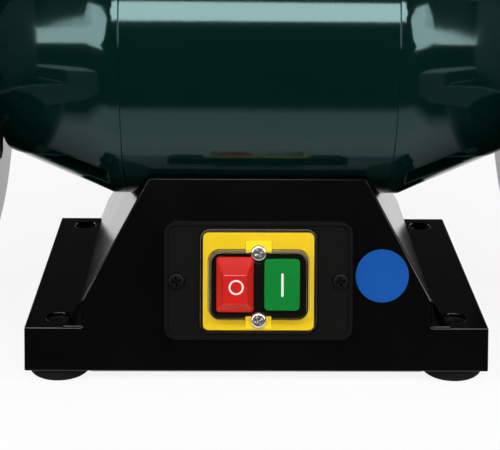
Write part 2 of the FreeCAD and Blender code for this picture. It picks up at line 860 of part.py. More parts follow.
wheel = on_shaft([
    (wheel_start, seat_radius),
    (wheel_start, "wheel_diameter / 2 - wheel_edge"),
    (f"{wheel_start} + wheel_edge", "wheel_diameter / 2"),
    (f"{wheel_start} + wheel_width - wheel_edge", "wheel_diameter / 2"),
    (f"{wheel_start} + wheel_width", "wheel_diameter / 2 - wheel_edge"),
    (f"{wheel_start} + wheel_width", seat_radius),
])
both_sides("grinding_wheel", wheel)

inner_flange = on_shaft([
    ("wheel_shoulder", seat_radius),
    ("wheel_shoulder", "flange_diameter / 2 - flange_bevel"),
    ("wheel_shoulder + flange_bevel", "flange_diameter / 2"),
    ("wheel_shoulder + flange_thick", "flange_diameter / 2"),
    ("wheel_shoulder + flange_thick", "flange_relief / 2"),
    ("wheel_shoulder + flange_thick - relief_depth", "flange_relief / 2"),
    ("wheel_shoulder + flange_thick - relief_depth", seat_radius),
])
node("inner_flanges", group(inner_flange, mirrored(inner_flange)))

outer_flange = on_shaft([
    (f"{outer_start} + relief_depth", seat_radius),
    (f"{outer_start} + relief_depth", "flange_relief / 2"),
    (outer_start, "flange_relief / 2"),
    (outer_start, "flange_diameter / 2"),
    (f"{nut_start} - flange_bevel", "flange_diameter / 2"),
    (nut_start, "flange_diameter / 2 - 2 * flange_bevel"),
    (nut_start, seat_radius),
])
node("outer_flanges", group(outer_flange, mirrored(outer_flange)))

blotters = [washer(start, "blotter_thick", "flange_diameter + 2 * blotter_margin", "flange_relief")
            for start in ("(wheel_shoulder + flange_thick)", f"({wheel_start} + wheel_width)")]
node("wheel_blotters", group(*blotters, *[mirrored(blotter) for blotter in blotters]))

wheel_nut = cut(
    hexagon("nut_across", "nut_height", nut_start, "0", "shaft_height", ALONG_X),
    rod(f"2 * ({seat_radius})", "3 * nut_height", f"{nut_start} - nut_height", z="shaft_height",
        turn=ALONG_X),
)
node("wheel_nuts", group(wheel_nut, mirrored(wheel_nut)))


# Wheel guards: a drawn pan on each bell, open at the front, with a dished outer cover

guard_end = "(guard_start + guard_depth)"
guard_opening = place(prism_along_x([
    ("-open_chord", "-open_low"),
    ("-guard_diameter", "-open_low"),
    ("-guard_diameter", "guard_diameter * sin(open_top * 1 deg)"),
    ("-guard_diameter * cos(open_top * 1 deg)", "guard_diameter * sin(open_top * 1 deg)"),
    ("-open_reach * cos(open_top * 1 deg)", "open_reach * sin(open_top * 1 deg)"),
], "guard_start - guard_sheet", "2 * guard_depth"), "guard_start - guard_sheet", "0", "shaft_height")

pan = on_shaft([
    ("guard_start", "shaft_hole / 2"),
    ("guard_start", "guard_diameter / 2"),
    (guard_end, "guard_diameter / 2"),
    (guard_end, "guard_diameter / 2 - guard_sheet"),
    ("guard_start + guard_sheet", "guard_diameter / 2 - guard_sheet"),
    ("guard_start + guard_sheet", "shaft_hole / 2"),
])
doc.recompute()
round_edges(pan, "guard_edge", circle_at("guard_start", "guard_diameter / 2"))
doc.recompute()
inner_rim = circle_at("guard_start + guard_sheet", "guard_diameter / 2 - guard_sheet")
round_edges(pan, "guard_edge - guard_sheet", inner_rim)

post_angles = [math.radians(angle) for angle in (92, 180, 268)]
post_places = [
    (f"post_circle / 2 * {-math.cos(angle):.6f}", f"shaft_height + post_circle / 2 * {math.sin(angle):.6f}")
    for angle in post_angles
]
post_start = "(guard_start + guard_depth / 2)"
posts = [rod("post_diameter", "guard_depth / 2", post_start, y, z, ALONG_X) for y, z in post_places]
post_holes = [rod("cover_screw + 2 * fit_gap", "guard_depth", post_start, y, z, ALONG_X)
              for y, z in post_places]

spark_mid = "(guard_start + guard_depth / 2)"
lip_middle = "(guard_diameter / 2 + lip_rise / 2 - 1.5 * guard_sheet)"
lip_plate = box("spark_width", "lip_rise + 3 * guard_sheet", "lip_thick", spark_mid, f"-{lip_middle}")
lip = turned(group(lip_plate), "-open_top")
spark_screw_radius = "(guard_diameter / 2 + spark_screw_rise)"
spark_screw_x = [f"{spark_mid} + {side} * spark_pitch / 2" for side in (-1, 1)]
lip_screw_holes = [turned(group(rod("spark_screw + 2 * fit_gap", "8 * lip_thick", x, f"-{spark_screw_radius}",
                                    "-4 * lip_thick")), "-open_top") for x in spark_screw_x]
rest_bolt_z = "(shaft_height - rest_bolt_drop)"
shield_bolt_z = "(shaft_height + shield_bolt_z)"
guard = cut(
    fuse(cut(pan, guard_opening), *posts, lip),
    *post_holes,
    *lip_screw_holes,
    *[rod("guard_bolt + 2 * fit_gap", "4 * guard_sheet", "guard_start - guard_sheet", y, z, ALONG_X)
      for y, z in guard_bolt_places],
    rod("rest_bolt + 2 * fit_gap", "4 * guard_sheet", "guard_start - guard_sheet", "-rest_bolt_y",
        rest_bolt_z, ALONG_X),
    rod("shield_bolt + 2 * fit_gap", "4 * guard_sheet", "guard_start - guard_sheet", "-shield_bolt_y",
        shield_bolt_z, ALONG_X),
)
both_sides("wheel_guard", guard)

cover_face = f"({guard_end} + cover_sheet)"
dish_inner = f"({guard_end} + cover_dish)"
cover_turning = on_shaft([
    (guard_end, "guard_diameter / 2"),
    (cover_face, "guard_diameter / 2"),
    (cover_face, "cover_dish_diameter / 2 + cover_dish"),
    (f"{cover_face} + cover_dish", "cover_dish_diameter / 2"),
    (f"{cover_face} + cover_dish", "0"),
    (dish_inner, "0"),
    (dish_inner, "cover_dish_diameter / 2 - cover_sheet / 2"),
    (guard_end, "cover_dish_diameter / 2 + cover_dish - cover_sheet / 2"),
])
cover_holes = [rod("cover_screw + 2 * fit_gap", "4 * cover_sheet", f"{guard_end} - cover_sheet", y, z,
                   ALONG_X) for y, z in post_places]
both_sides("guard_cover", cut(cover_turning, guard_opening, *cover_holes))

bolt_grip = "(0.9 * (guard_start - bell_end))"
guard_bolts = [
    fuse(
        rod("guard_bolt", f"{bolt_grip} + guard_sheet", f"guard_start - {bolt_grip}", y, z, ALONG_X),
        rod("1.8 * guard_bolt", "0.6 * guard_bolt", "guard_start + guard_sheet", y, z, ALONG_X),
    )
    for y, z in guard_bolt_places
]
node("guard_bolts", group(*guard_bolts, *[mirrored(bolt) for bolt in guard_bolts]))

cover_screws = [
    fuse(
        rod("cover_screw", "guard_depth / 3 + cover_sheet", f"{guard_end} - guard_depth / 3", y, z, ALONG_X),
        rod("1.9 * cover_screw", "0.6 * cover_screw", cover_face, y, z, ALONG_X),
    )
    for y, z in post_places
]
node("cover_screws", group(*cover_screws, *[mirrored(screw) for screw in cover_screws]))


# Tool rests: a table and slotted arm, clamped to the guard by a bolt and knob

rest_back = "(wheel_diameter / 2 + rest_gap)"
rest_top = "(shaft_height - rest_drop)"
arm_x = "(guard_start - slide_gap - arm_thick / 2)"
table_left = "(guard_start - slide_gap - arm_thick)"
table = box("rest_width", "rest_depth", "rest_thick", f"{table_left} + rest_width / 2",
            f"-({rest_back} + rest_depth / 2)", f"{rest_top} - rest_thick")
arm_top = "(shaft_height - arm_drop)"
arm_length = f"({rest_back} + rest_depth - arm_tail)"
arm = box("arm_thick", arm_length, "arm_tall", arm_x, f"-(arm_tail + {arm_length} / 2)",
          f"{arm_top} - arm_tall")
web = box("arm_thick", "rest_depth", f"{rest_top} - rest_thick - {arm_top}", arm_x,
          f"-({rest_back} + rest_depth / 2)", arm_top)
slot_end_y = "(rest_travel - rest_bolt_y)"
slot_tall = "(rest_bolt + 2 * slide_gap)"
arm_slot = group(
    box("3 * arm_thick", "rest_travel", slot_tall, arm_x, "-rest_bolt_y + rest_travel / 2",
        f"{rest_bolt_z} - {slot_tall} / 2"),
    *[rod(slot_tall, "3 * arm_thick", f"{arm_x} - 1.5 * arm_thick", y, rest_bolt_z, ALONG_X)
      for y in ("-rest_bolt_y", slot_end_y)],
)
both_sides("tool_rest", cut(fuse(table, arm, web), arm_slot))

knob_face = "(guard_start - 2 * slide_gap - arm_thick)"
knob_start = f"({knob_face} - knob_length)"
bolt_head_x = "(guard_start + guard_sheet)"
rest_bolt = fuse(
    rod("2 * rest_bolt", "0.4 * rest_bolt", bolt_head_x, "-rest_bolt_y", rest_bolt_z, ALONG_X),
    rod("rest_bolt", f"{bolt_head_x} - {knob_start} - knob_cap", f"{knob_start} + knob_cap", "-rest_bolt_y",
        rest_bolt_z, ALONG_X),
)
node("rest_bolts", group(rest_bolt, mirrored(rest_bolt)))

lobe_count = 6
lobe_reach = 0.56
lobes = []
for index in range(lobe_count):
    angle = 2 * math.pi * (index + 0.5) / lobe_count
    y = f"-rest_bolt_y + knob_diameter * {lobe_reach * math.cos(angle):.6f}"
    z = f"{rest_bolt_z} + knob_diameter * {lobe_reach * math.sin(angle):.6f}"
    lobes.append(rod("knob_diameter / 4", "3 * knob_length", f"{knob_start} - knob_length", y, z, ALONG_X))
knob = cut(
    rod("knob_diameter", "knob_length", knob_start, "-rest_bolt_y", rest_bolt_z, ALONG_X),
    rod("rest_bolt + 2 * fit_gap", "knob_length", f"{knob_start} + 0.75 * knob_cap", "-rest_bolt_y",
        rest_bolt_z, ALONG_X),
    *lobes,
)
both_sides("rest_knob", knob)


# Spark plates: slotted plates on the guard lips, set close to the wheels

spark_inner = "(wheel_diameter / 2 + spark_gap)"
spark_outer = "(guard_diameter / 2 + lip_rise)"
spark_sheet = box("spark_width", f"{spark_outer} - {spark_inner}", "spark_thick", spark_mid,
                  f"-({spark_outer} + {spark_inner}) / 2", "-spark_thick - slide_gap")
slot_inner = f"({spark_screw_radius} - spark_travel)"
slot_outer = f"({spark_screw_radius} + spark_advance)"
spark_slots = []
for x in spark_screw_x:
    width = "(spark_screw + 2 * slide_gap)"
    low = "-3 * spark_thick"
    spark_slots.append(box(width, f"{slot_outer} - {slot_inner}", "4 * spark_thick", x,
                           f"-({slot_outer} + {slot_inner}) / 2", low))
    spark_slots.append(rod(width, "4 * spark_thick", x, f"-{slot_inner}", low))
    spark_slots.append(rod(width, "4 * spark_thick", x, f"-{slot_outer}", low))
both_sides("spark_plate", turned(cut(spark_sheet, *spark_slots), "-open_top"))

spark_head_z = "-spark_thick - 2 * slide_gap"
spark_screws = []
for x in spark_screw_x:
    screw = fuse(
        rod("1.8 * spark_screw", "0.6 * spark_screw", x, f"-{spark_screw_radius}",
            f"{spark_head_z} - 0.6 * spark_screw"),
        rod("spark_screw", "spark_thick + 2 * slide_gap + lip_thick + 0.5 * spark_screw", x,
            f"-{spark_screw_radius}", spark_head_z),
        hexagon("1.6 * spark_screw", "0.6 * spark_screw", x, f"-{spark_screw_radius}", "lip_thick"),
    )
    spark_screws.append(turned(screw, "-open_top"))
node("spark_screws", group(*spark_screws, *[mirrored(screw) for screw in spark_screws]))


# Eye shields: a bracket with a cross rod on each guard, and a clear shield that swings on it

rod_z = "(shaft_height + shield_rod_z)"
bracket_run = "sqrt((shield_rod_y - shield_bolt_y) ^ 2 + (shield_rod_z - shield_bolt_z) ^ 2)"
bracket_angle = "atan((shield_rod_y - shield_bolt_y) / (shield_rod_z - shield_bolt_z))"
bracket_x = "(guard_start - bracket_thick)"
strap = turned(
    fuse(
        box("bracket_thick", "bracket_width", bracket_run, f"{bracket_x} + bracket_thick / 2"),
        rod("bracket_width", "bracket_thick", bracket_x, turn=ALONG_X),
        rod("bracket_width", "bracket_thick", bracket_x, z=bracket_run, turn=ALONG_X),
    ),
    bracket_angle, y="-shield_bolt_y", z=shield_bolt_z,
)
stop_x = "(shield_start + shield_width + rod_play)"
cross_rod = rod("shield_rod", f"{stop_x} - {bracket_x} + rod_play", bracket_x, "-shield_rod_y", rod_z, ALONG_X)
rod_stop = rod("1.5 * shield_rod", "shield_rod / 3", stop_x, "-shield_rod_y", rod_z, ALONG_X)
bracket = cut(
    fuse(strap, cross_rod, rod_stop),
    rod("shield_bolt + 2 * fit_gap", "4 * bracket_thick", f"{bracket_x} - bracket_thick", "-shield_bolt_y",
        shield_bolt_z, ALONG_X),
)
both_sides("shield_bracket", bracket)

shield_bolt = fuse(
    hexagon("1.6 * shield_bolt", "0.65 * shield_bolt", f"{bracket_x} - 0.65 * shield_bolt", "-shield_bolt_y",
            shield_bolt_z, ALONG_X),
    rod("shield_bolt", "bracket_thick + guard_sheet + shield_bolt", bracket_x, "-shield_bolt_y",
        shield_bolt_z, ALONG_X),
    hexagon("1.6 * shield_bolt", "0.8 * shield_bolt", bolt_head_x, "-shield_bolt_y", shield_bolt_z, ALONG_X),
)
node("shield_bolts", group(shield_bolt, mirrored(shield_bolt)))

hem = "shield_rod + 2 * hem_wall"
shield = cut(
    fuse(
        rod(hem, "shield_width", "shield_start", turn=ALONG_X),
        box("shield_width", "shield_thick", "shield_tall", "shield_start + shield_width / 2",
            z="-shield_tall"),
    ),
    rod("shield_rod + 2 * fit_gap", "3 * shield_width", "shield_start - shield_width", turn=ALONG_X),
)
both_sides("eye_shield", turned(shield, "-shield_tilt", y="-shield_rod_y", z=rod_z))


# Switch on the front panel, drawn in the panel's own frame

def centred(item, x="0", y="switch_rise", z="0"):
    return place(item, x, y, z)


frame_width = "(face_width + 2 * cover_lip + 2 * button_gap)"
frame_tall = "(face_tall + 2 * cover_lip + 2 * button_gap)"
bezel_plate = centred(rounded_slab("bezel_width", "bezel_tall", "bezel_thick + bezel_rim_rise",
                                   "bezel_corner"))
bezel_field = centred(rounded_slab("bezel_width - 2 * bezel_rim", "bezel_tall - 2 * bezel_rim", "bezel_thick",
                                   "bezel_corner - bezel_rim"), z="bezel_thick")
bezel_window = box(frame_width, frame_tall, "6 * bezel_thick", y="switch_rise", z="-bezel_thick")
bezel_screw_x = [f"{side} * bezel_screw_pitch / 2" for side in (-1, 1)]
bezel_holes = [rod("bezel_screw + 2 * fit_gap", "6 * bezel_thick", x, "switch_rise", "-bezel_thick")
               for x in bezel_screw_x]
node("switch_bezel", on_switch(cut(bezel_plate, bezel_field, bezel_window, *bezel_holes)))

node("bezel_screws", on_switch(group(*[
    fuse(
        rod("bezel_screw", "bezel_thick + 3 * sheet", x, "switch_rise", "-3 * sheet"),
        rod("2 * bezel_screw", "0.4 * bezel_screw", x, "switch_rise", "bezel_thick"),
    )
    for x in bezel_screw_x
])))

button_y = "(switch_rise - button_drop)"
stop_button_x = "-button_pitch / 2"
start_button_x = "button_pitch / 2"
face_low = "housing_flange"
face_top = "(housing_flange + face_thick)"
face_screw_y = [f"switch_rise - switch_drop {sign} face_screw_pitch / 2" for sign in "+-"]
face_screw_holes = [rod("face_screw + 2 * fit_gap", "well_depth + 4 * face_thick", "0", y, "-well_depth")
                    for y in face_screw_y]


def well(x, width, tall):
    return box(f"{width} + 2 * button_gap", f"{tall} + 2 * button_gap", "2 * well_depth", x, button_y,
               "-well_depth")


housing_flange_slab = box("face_width", "face_tall", "housing_flange", y="switch_rise")
housing_box = box("housing_width", "housing_tall", "housing_depth", y="switch_rise", z="-housing_depth")
node("switch_housing", on_switch(cut(
    fuse(housing_box, housing_flange_slab),
    well(stop_button_x, "stop_width", "stop_tall"),
    well(start_button_x, "start_width", "start_tall"),
    *face_screw_holes,
)))

face = centred(rounded_slab("face_width", "face_tall", "face_thick", "face_corner"), z=face_low)
window = centred(rounded_slab("window_width", "window_tall", "3 * face_thick", "window_corner"), y=button_y)
tabs = []
for side, y in zip((1, -1), face_screw_y):
    tall = "(face_screw_head / 2 + tab_reach)"
    tabs.append(box("tab_width", tall, "face_thick + tab_rise", "0",
                    f"{y} + {side} * ({tall} / 2 - face_screw_head / 4)", face_low))
node("switch_plate", on_switch(cut(fuse(cut(face, window), *tabs), *face_screw_holes)))

node("plate_screws", on_switch(group(*[
    fuse(
        rod("face_screw", f"{face_top} + tab_rise + well_depth / 2", "0", y, "-well_depth / 2"),
        rod("face_screw_head", "0.25 * face_screw_head", "0", y, f"{face_top} + tab_rise"),
    )
    for y in face_screw_y
])))

stop_crown = bind(
    doc.addObject("Part::Wedge", "crown"),
    Xmin="-stop_width / 2", Xmax="stop_width / 2", Zmin="-stop_tall / 2", Zmax="stop_tall / 2",
    X2min="-stop_top_width / 2", X2max="stop_top_width / 2",
    Z2min="stop_top_drop - stop_top_tall / 2", Z2max="stop_top_drop + stop_top_tall / 2",
    Ymin="0", Ymax="stop_top_rise",
)
place(stop_crown, stop_button_x, button_y, f"{face_low} + stop_rise", WEDGE_UP)
stop_stem = box("stop_width", "stop_tall", f"button_root + {face_low} + stop_rise", stop_button_x, button_y,
                "-button_root")
node("stop_button", on_switch(fuse(stop_stem, stop_crown)))

start_length = f"button_root + {face_low} + start_rise"
start_pad = centred(rounded_slab("start_width", "start_tall", start_length, "start_edge"),
                    start_button_x, button_y, "-button_root")
node("start_button", on_switch(group(start_pad)))

cap_top = f"({face_top} + button_gap + cover_wall)"
cap_outer = box(f"{frame_width} - 2 * button_gap", f"{frame_tall} - 2 * button_gap", f"{cap_top} - {face_low}",
                y="switch_rise", z=face_low)
cap_inner = box("face_width + 2 * button_gap", "face_tall + 2 * button_gap", f"{face_top} + button_gap",
                y="switch_rise", z="0")
dome_outer = centred(rounded_slab("window_width", "window_tall", "cover_rise", "window_corner"),
                     y=button_y, z=f"{cap_top} - cover_wall")
dome_inner = centred(rounded_slab("window_width - 2 * cover_wall", "window_tall - 2 * cover_wall",
                                  "cover_rise - cover_wall + 2 * face_thick", "window_corner - cover_wall"),
                     y=button_y, z=f"{cap_top} - cover_wall - 2 * face_thick")
screw_reliefs = [rod("face_screw_head + 4 * button_gap", "4 * cover_rise", "0", y, "0") for y in face_screw_y]
tab_reliefs = []
for side, y in zip((1, -1), face_screw_y):
    tall = "(face_screw_head / 2 + tab_reach)"
    tab_reliefs.append(box("tab_width + 2 * button_gap", f"{tall} + 2 * button_gap", "2 * face_thick", "0",
                           f"{y} + {side} * ({tall} / 2 - face_screw_head / 4)", face_low))
cover_shell = fuse(cap_outer, dome_outer)
node("dust_cover", on_switch(cut(cover_shell, cap_inner, dome_inner, *screw_reliefs, *tab_reliefs)))


# Mains cable gland on the rear panel

gland_body = cut(
    fuse(
        hexagon("gland_across", "gland_hex", "gland_x", "gland_rise", "0"),
        rod("0.86 * gland_across", "gland_hex + gland_dome", "gland_x", "gland_rise", "0"),
        rod("gland_thread", "gland_thread_length", "gland_x", "gland_rise", "-gland_thread_length"),
    ),
    rod("gland_bore", "4 * gland_thread_length", "gland_x", "gland_rise", "-2 * gland_thread_length"),
)
node("cable_gland", on_rear_panel(gland_body))

nut_seat = f"(sheet / sqrt(1 + {slope} ^ 2))"
gland_nut = cut(
    hexagon("1.3 * gland_thread", "gland_nut_thick", "gland_x", "gland_rise",
            f"-{nut_seat} - gland_nut_thick"),
    rod("gland_thread + 2 * fit_gap", "4 * gland_nut_thick", "gland_x", "gland_rise", "-3 * gland_nut_thick"),
)
node("gland_nut", on_rear_panel(gland_nut))


# Run capacitor, strapped to the bottom plate

capacitor_z = "(foot_drop + seat_gap + capacitor_diameter / 2)"
node("capacitor", rod("capacitor_diameter", "capacitor_length", "-capacitor_length / 2", "capacitor_y",
                      capacitor_z, ALONG_X))
strap_inner = "(capacitor_diameter + 2 * seat_gap)"
strap_outer = f"({strap_inner} + 2 * clamp_thick)"
strap_ring = fuse(
    rod(strap_outer, "clamp_width", "-clamp_width / 2", "capacitor_y", capacitor_z, ALONG_X),
    box("clamp_width", strap_outer, f"{capacitor_z} - foot_drop", "0", "capacitor_y", "foot_drop"),
)
strap_feet = box("clamp_width", f"{strap_outer} + 2 * clamp_foot", "clamp_thick", "0", "capacitor_y",
                 "foot_drop")
strap_void = group(
    rod(strap_inner, "3 * clamp_width", "-1.5 * clamp_width", "capacitor_y", capacitor_z, ALONG_X),
    box("3 * clamp_width", strap_inner, capacitor_z, "0", "capacitor_y", "0"),
)
strap_trim = box("base_width", "base_depth", "base_depth", z="foot_drop")
node("capacitor_clamp", common(cut(fuse(strap_ring, strap_feet), strap_void), strap_trim))


doc.recompute()

problems = []
for item in doc.Objects:
    if "Invalid" in item.State or "Error" in item.State:
        problems.append(f"{item.Name} ({item.Label}): {item.State}")
for item in nodes:
    if item.Shape.isNull() or not item.Shape.isValid() or not item.Shape.Solids:
        problems.append(f"{item.Label}: shape is null, empty or not valid")
if problems:
    raise RuntimeError("\n".join(problems))

os.makedirs("parts", exist_ok=True)
for item in nodes:
    item.Shape.exportStep(f"parts/{item.Label}.step")
    print(f"{item.Label}: {len(item.Shape.Solids)} solids, {item.Shape.Volume / 1000:.2f} cm3")
print(f"{len(nodes)} nodes")
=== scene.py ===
import bpy
import json
import math
from mathutils import Matrix, Vector


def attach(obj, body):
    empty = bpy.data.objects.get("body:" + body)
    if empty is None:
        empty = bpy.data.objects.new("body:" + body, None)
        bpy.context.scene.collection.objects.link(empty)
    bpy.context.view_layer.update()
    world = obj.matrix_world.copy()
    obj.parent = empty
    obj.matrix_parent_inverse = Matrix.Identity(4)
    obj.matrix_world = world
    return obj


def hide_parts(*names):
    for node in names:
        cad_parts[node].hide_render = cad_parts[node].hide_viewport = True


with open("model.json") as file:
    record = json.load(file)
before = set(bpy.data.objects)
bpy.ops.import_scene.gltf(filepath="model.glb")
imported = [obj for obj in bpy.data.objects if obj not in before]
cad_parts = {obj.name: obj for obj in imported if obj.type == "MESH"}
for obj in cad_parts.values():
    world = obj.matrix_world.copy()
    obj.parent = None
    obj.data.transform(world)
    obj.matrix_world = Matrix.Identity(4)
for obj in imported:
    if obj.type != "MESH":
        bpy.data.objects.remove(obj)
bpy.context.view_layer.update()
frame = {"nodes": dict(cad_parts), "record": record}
nodeBody = {}
for body, members in frame["record"]["behaviour"]["bodies"].items():
    nodeBody.update({node: body for node in members})
nodeSlot = {part["node"]: part["material_slot"] for part in frame["record"]["subparts"]}
mm = 0.001


class Shade:  # one socket of a node tree, so that shader maths reads as plain sums
    def __init__(self, tree, out=None):
        self.tree = tree
        self.out = out

    def node(self, kind, settings=None, sockets=None, give=0):
        made = self.tree.nodes.new("ShaderNode" + kind)
        for name, value in (settings or {}).items():
            setattr(made, name, value)
        for name, value in (sockets or {}).items():
            if isinstance(value, Shade):
                self.tree.links.new(value.out, made.inputs[name])
            else:
                made.inputs[name].default_value = value
        return Shade(self.tree, made.outputs[give])

    def maths(self, operation, first, second=0.0):
        return self.node("Math", {"operation": operation}, {0: first, 1: second})

    def ray(self, kind):
        return self.node("LightPath", give="Is " + kind + " Ray")

    def __add__(self, other):
        return self.maths("ADD", self, other)

    def __radd__(self, other):
        return self.maths("ADD", other, self)

    def __sub__(self, other):
        return self.maths("SUBTRACT", self, other)

    def __rsub__(self, other):
        return self.maths("SUBTRACT", other, self)

    def __mul__(self, other):
        return self.maths("MULTIPLY", self, other)

    def __rmul__(self, other):
        return self.maths("MULTIPLY", other, self)

    def __abs__(self):
        return self.maths("ABSOLUTE", self)

    def __gt__(self, other):
        return self.maths("GREATER_THAN", self, other)

    def __lt__(self, other):
        return self.maths("LESS_THAN", self, other)


def rgba(colour):
    return (*colour, 1.0)


class Finish:  # one material: its shader, its object coordinates and a few patterns on them
    def __init__(self, name, **fixed):
        self.material = bpy.data.materials.new(name)
        self.material.use_nodes = True
        self.tree = self.material.node_tree
        self.shader = self.tree.nodes["Principled BSDF"]
        self.start = Shade(self.tree)
        self.place = self.start.node("TexCoord", give="Object")
        for socket, value in fixed.items():
            self.shader.inputs[socket.replace("_", " ")].default_value = value

    def feed(self, **sockets):
        for socket, value in sockets.items():
            self.tree.links.new(value.out, self.shader.inputs[socket.replace("_", " ")])

    def noise(self, scale, detail=2.0, rough=0.5, place=None):
        sockets = {"Vector": place or self.place, "Scale": scale, "Detail": detail, "Roughness": rough}
        return self.start.node("TexNoise", None, sockets)

    def cells(self, scale, give="Distance"):
        sockets = {"Vector": self.place, "Scale": scale}
        return self.start.node("TexVoronoi", {"feature": "F1"}, sockets, give)

    def stretched(self, x, y, z):
        return self.start.node("Mapping", None, {"Vector": self.place, "Scale": (x, y, z)})

    def blend(self, factor, low, high):
        return self.start.node("Mix", {"data_type": "RGBA"}, {0: factor, 6: low, 7: high}, 2)

    def tones(self, factor, look):
        return self.blend(factor, rgba(look["dark"]), rgba(look["light"]))

    def ramp(self, factor, low, high):  # 0 at low, 1 at high
        sockets = {"Value": factor, "From Min": low, "From Max": high}
        return self.start.node("MapRange", {"clamp": True}, sockets)

    def surface(self, base, rough, height, bite, depth):
        sockets = {"Height": height, "Strength": bite, "Distance": depth}
        self.feed(Base_Color=base, Roughness=rough, Normal=self.start.node("Bump", None, sockets))
        return self.material

    def show(self, shader):  # in place of the principled shader alone
        self.tree.links.new(shader.out, self.tree.nodes["Material Output"].inputs["Surface"])


# finishes, each with the looks that it takes; pattern scales are per metre, bump depths in metres

def glossPaint(name, look):
    finish = Finish(name, IOR=1.5, Specular_Tint=rgba(look["tint"]))
    cloud = finish.noise(look["cloud"], detail=3)
    peel = finish.noise(look["peel"])
    specks = finish.ramp(finish.noise(look["speck"], detail=1), *look["specks"])
    specks = specks * finish.ramp(finish.noise(look["patch"]), *look["patches"])
    base = finish.blend(specks * look["dust"], finish.tones(cloud, look), rgba(look["dustColour"]))
    rough = look["rough"] + look["uneven"] * cloud + look["dustRough"] * specks
    return finish.surface(base, rough, peel, look["wave"], look["depth"])


blackLook = {
    "dark": (0.0005, 0.0005, 0.0006), "light": (0.0011, 0.0011, 0.0012), "cloud": 35, "tint": (1, 1, 1),
    "rough": 0.12, "uneven": 0.06, "peel": 900, "wave": 0.03, "depth": 0.0004,
    "speck": 2600, "specks": (0.72, 0.78), "patch": 140, "patches": (0.5, 0.7),
    "dust": 0.05, "dustColour": (0.2, 0.2, 0.19), "dustRough": 0.25,
}
guardLook = dict(blackLook, rough=0.1, dust=0.02)
greenLook = dict(
    blackLook, dark=(0.0002, 0.0072, 0.0055), light=(0.0004, 0.0092, 0.0073), cloud=30,
    tint=(0.62, 1, 0.99), rough=0.06, peel=420, wave=0.015, dust=0.02,
)


def mouldedPlastic(name, look):
    finish = Finish(name, IOR=1.46, Specular_IOR_Level=look["shine"])
    grain = finish.noise(look["grain"], detail=3, rough=0.6)
    cloud = finish.noise(look["cloud"])
    rough = look["rough"] + look["uneven"] * grain
    return finish.surface(finish.tones(cloud, look), rough, grain, look["bite"], look["depth"])


bezelLook = {
    "dark": (0.0012, 0.0012, 0.001), "light": (0.0022, 0.0022, 0.0018), "cloud": 60, "shine": 0.09,
    "rough": 0.46, "uneven": 0.1, "grain": 1400, "bite": 0.22, "depth": 0.0003,
}
yellowLook = dict(
    bezelLook, dark=(0.86, 0.56, 0.006), light=(0.93, 0.63, 0.01), shine=0.4,
    rough=0.3, grain=900, bite=0.03,
)
redLook = dict(
    bezelLook, dark=(0.6, 0.011, 0.009), light=(0.68, 0.018, 0.015), shine=0.5,
    rough=0.16, grain=700, bite=0.03,
)
greenButtonLook = dict(
    bezelLook, dark=(0.002, 0.18, 0.026), light=(0.003, 0.22, 0.033), shine=0.14,
    rough=0.3, grain=700, bite=0.03,
)
caseLook = dict(
    bezelLook, dark=(0.55, 0.55, 0.52), light=(0.68, 0.68, 0.65), shine=0.5,
    rough=0.3, grain=500, bite=0.05,
)


def workedMetal(name, look):
    finish = Finish(name, Metallic=1.0)
    lines = finish.noise(look["lines"], detail=3, rough=0.65, place=finish.stretched(*look["along"]))
    cloud = finish.noise(look["cloud"], detail=3)
    rough = look["rough"] + look["lineRough"] * lines + look["cloudRough"] * cloud
    return finish.surface(finish.tones(cloud, look), rough, lines, look["bite"], look["depth"])


zincLook = {
    "dark": (0.5, 0.5, 0.47), "light": (0.68, 0.68, 0.66), "cloud": 90, "lines": 400, "along": (1, 1, 1),
    "rough": 0.26, "lineRough": 0.18, "cloudRough": 0.06, "bite": 0.08, "depth": 0.0002,
}
shaftLook = dict(
    zincLook, dark=(0.5, 0.5, 0.51), light=(0.62, 0.62, 0.63), along=(4, 0.4, 0.4), rough=0.18,
)
bearingLook = dict(shaftLook, light=(0.74, 0.74, 0.75), rough=0.12)
nickelLook = dict(zincLook, dark=(0.74, 0.73, 0.71), light=(0.86, 0.85, 0.83), rough=0.12, bite=0.05)
stainLook = dict(zincLook, dark=(0.008, 0.008, 0.0085), light=(0.022, 0.022, 0.022), rough=0.3)


def castMetal(name, look):
    finish = Finish(name, Metallic=1.0)
    pits = finish.cells(look["pits"])
    grain = finish.noise(look["grain"], detail=3, rough=0.6)
    cloud = finish.noise(look["cloud"], detail=3)
    rough = look["rough"] + look["uneven"] * grain
    height = grain + look["pitDepth"] * pits
    return finish.surface(finish.tones(cloud, look), rough, height, look["bite"], look["depth"])


castLook = {
    "dark": (0.28, 0.285, 0.29), "light": (0.44, 0.445, 0.45), "cloud": 45, "rough": 0.44, "uneven": 0.15,
    "grain": 1500, "pits": 900, "pitDepth": 0.6, "bite": 0.35, "depth": 0.0004,
}


def bandedMetal(name, look):  # wire turns or stacked plates, side by side along the shaft
    finish = Finish(name, Metallic=look["metal"])
    settings = {"wave_type": "BANDS", "bands_direction": "X"}
    sockets = {"Vector": finish.place, "Scale": look["bands"], "Distortion": look["wander"]}
    bands = finish.start.node("TexWave", settings, sockets)
    rough = look["rough"] + look["uneven"] * bands
    return finish.surface(finish.tones(bands, look), rough, bands, look["bite"], look["depth"])


coilLook = {
    "dark": (0.22, 0.07, 0.02), "light": (0.62, 0.27, 0.1), "metal": 0.6, "bands": 190, "wander": 2.5,
    "rough": 0.25, "uneven": 0.2, "bite": 0.8, "depth": 0.0006,
}
coreLook = {
    "dark": (0.1, 0.1, 0.11), "light": (0.34, 0.34, 0.36), "metal": 0.9, "bands": 320, "wander": 0.3,
    "rough": 0.35, "uneven": 0.2, "bite": 0.5, "depth": 0.0003,
}


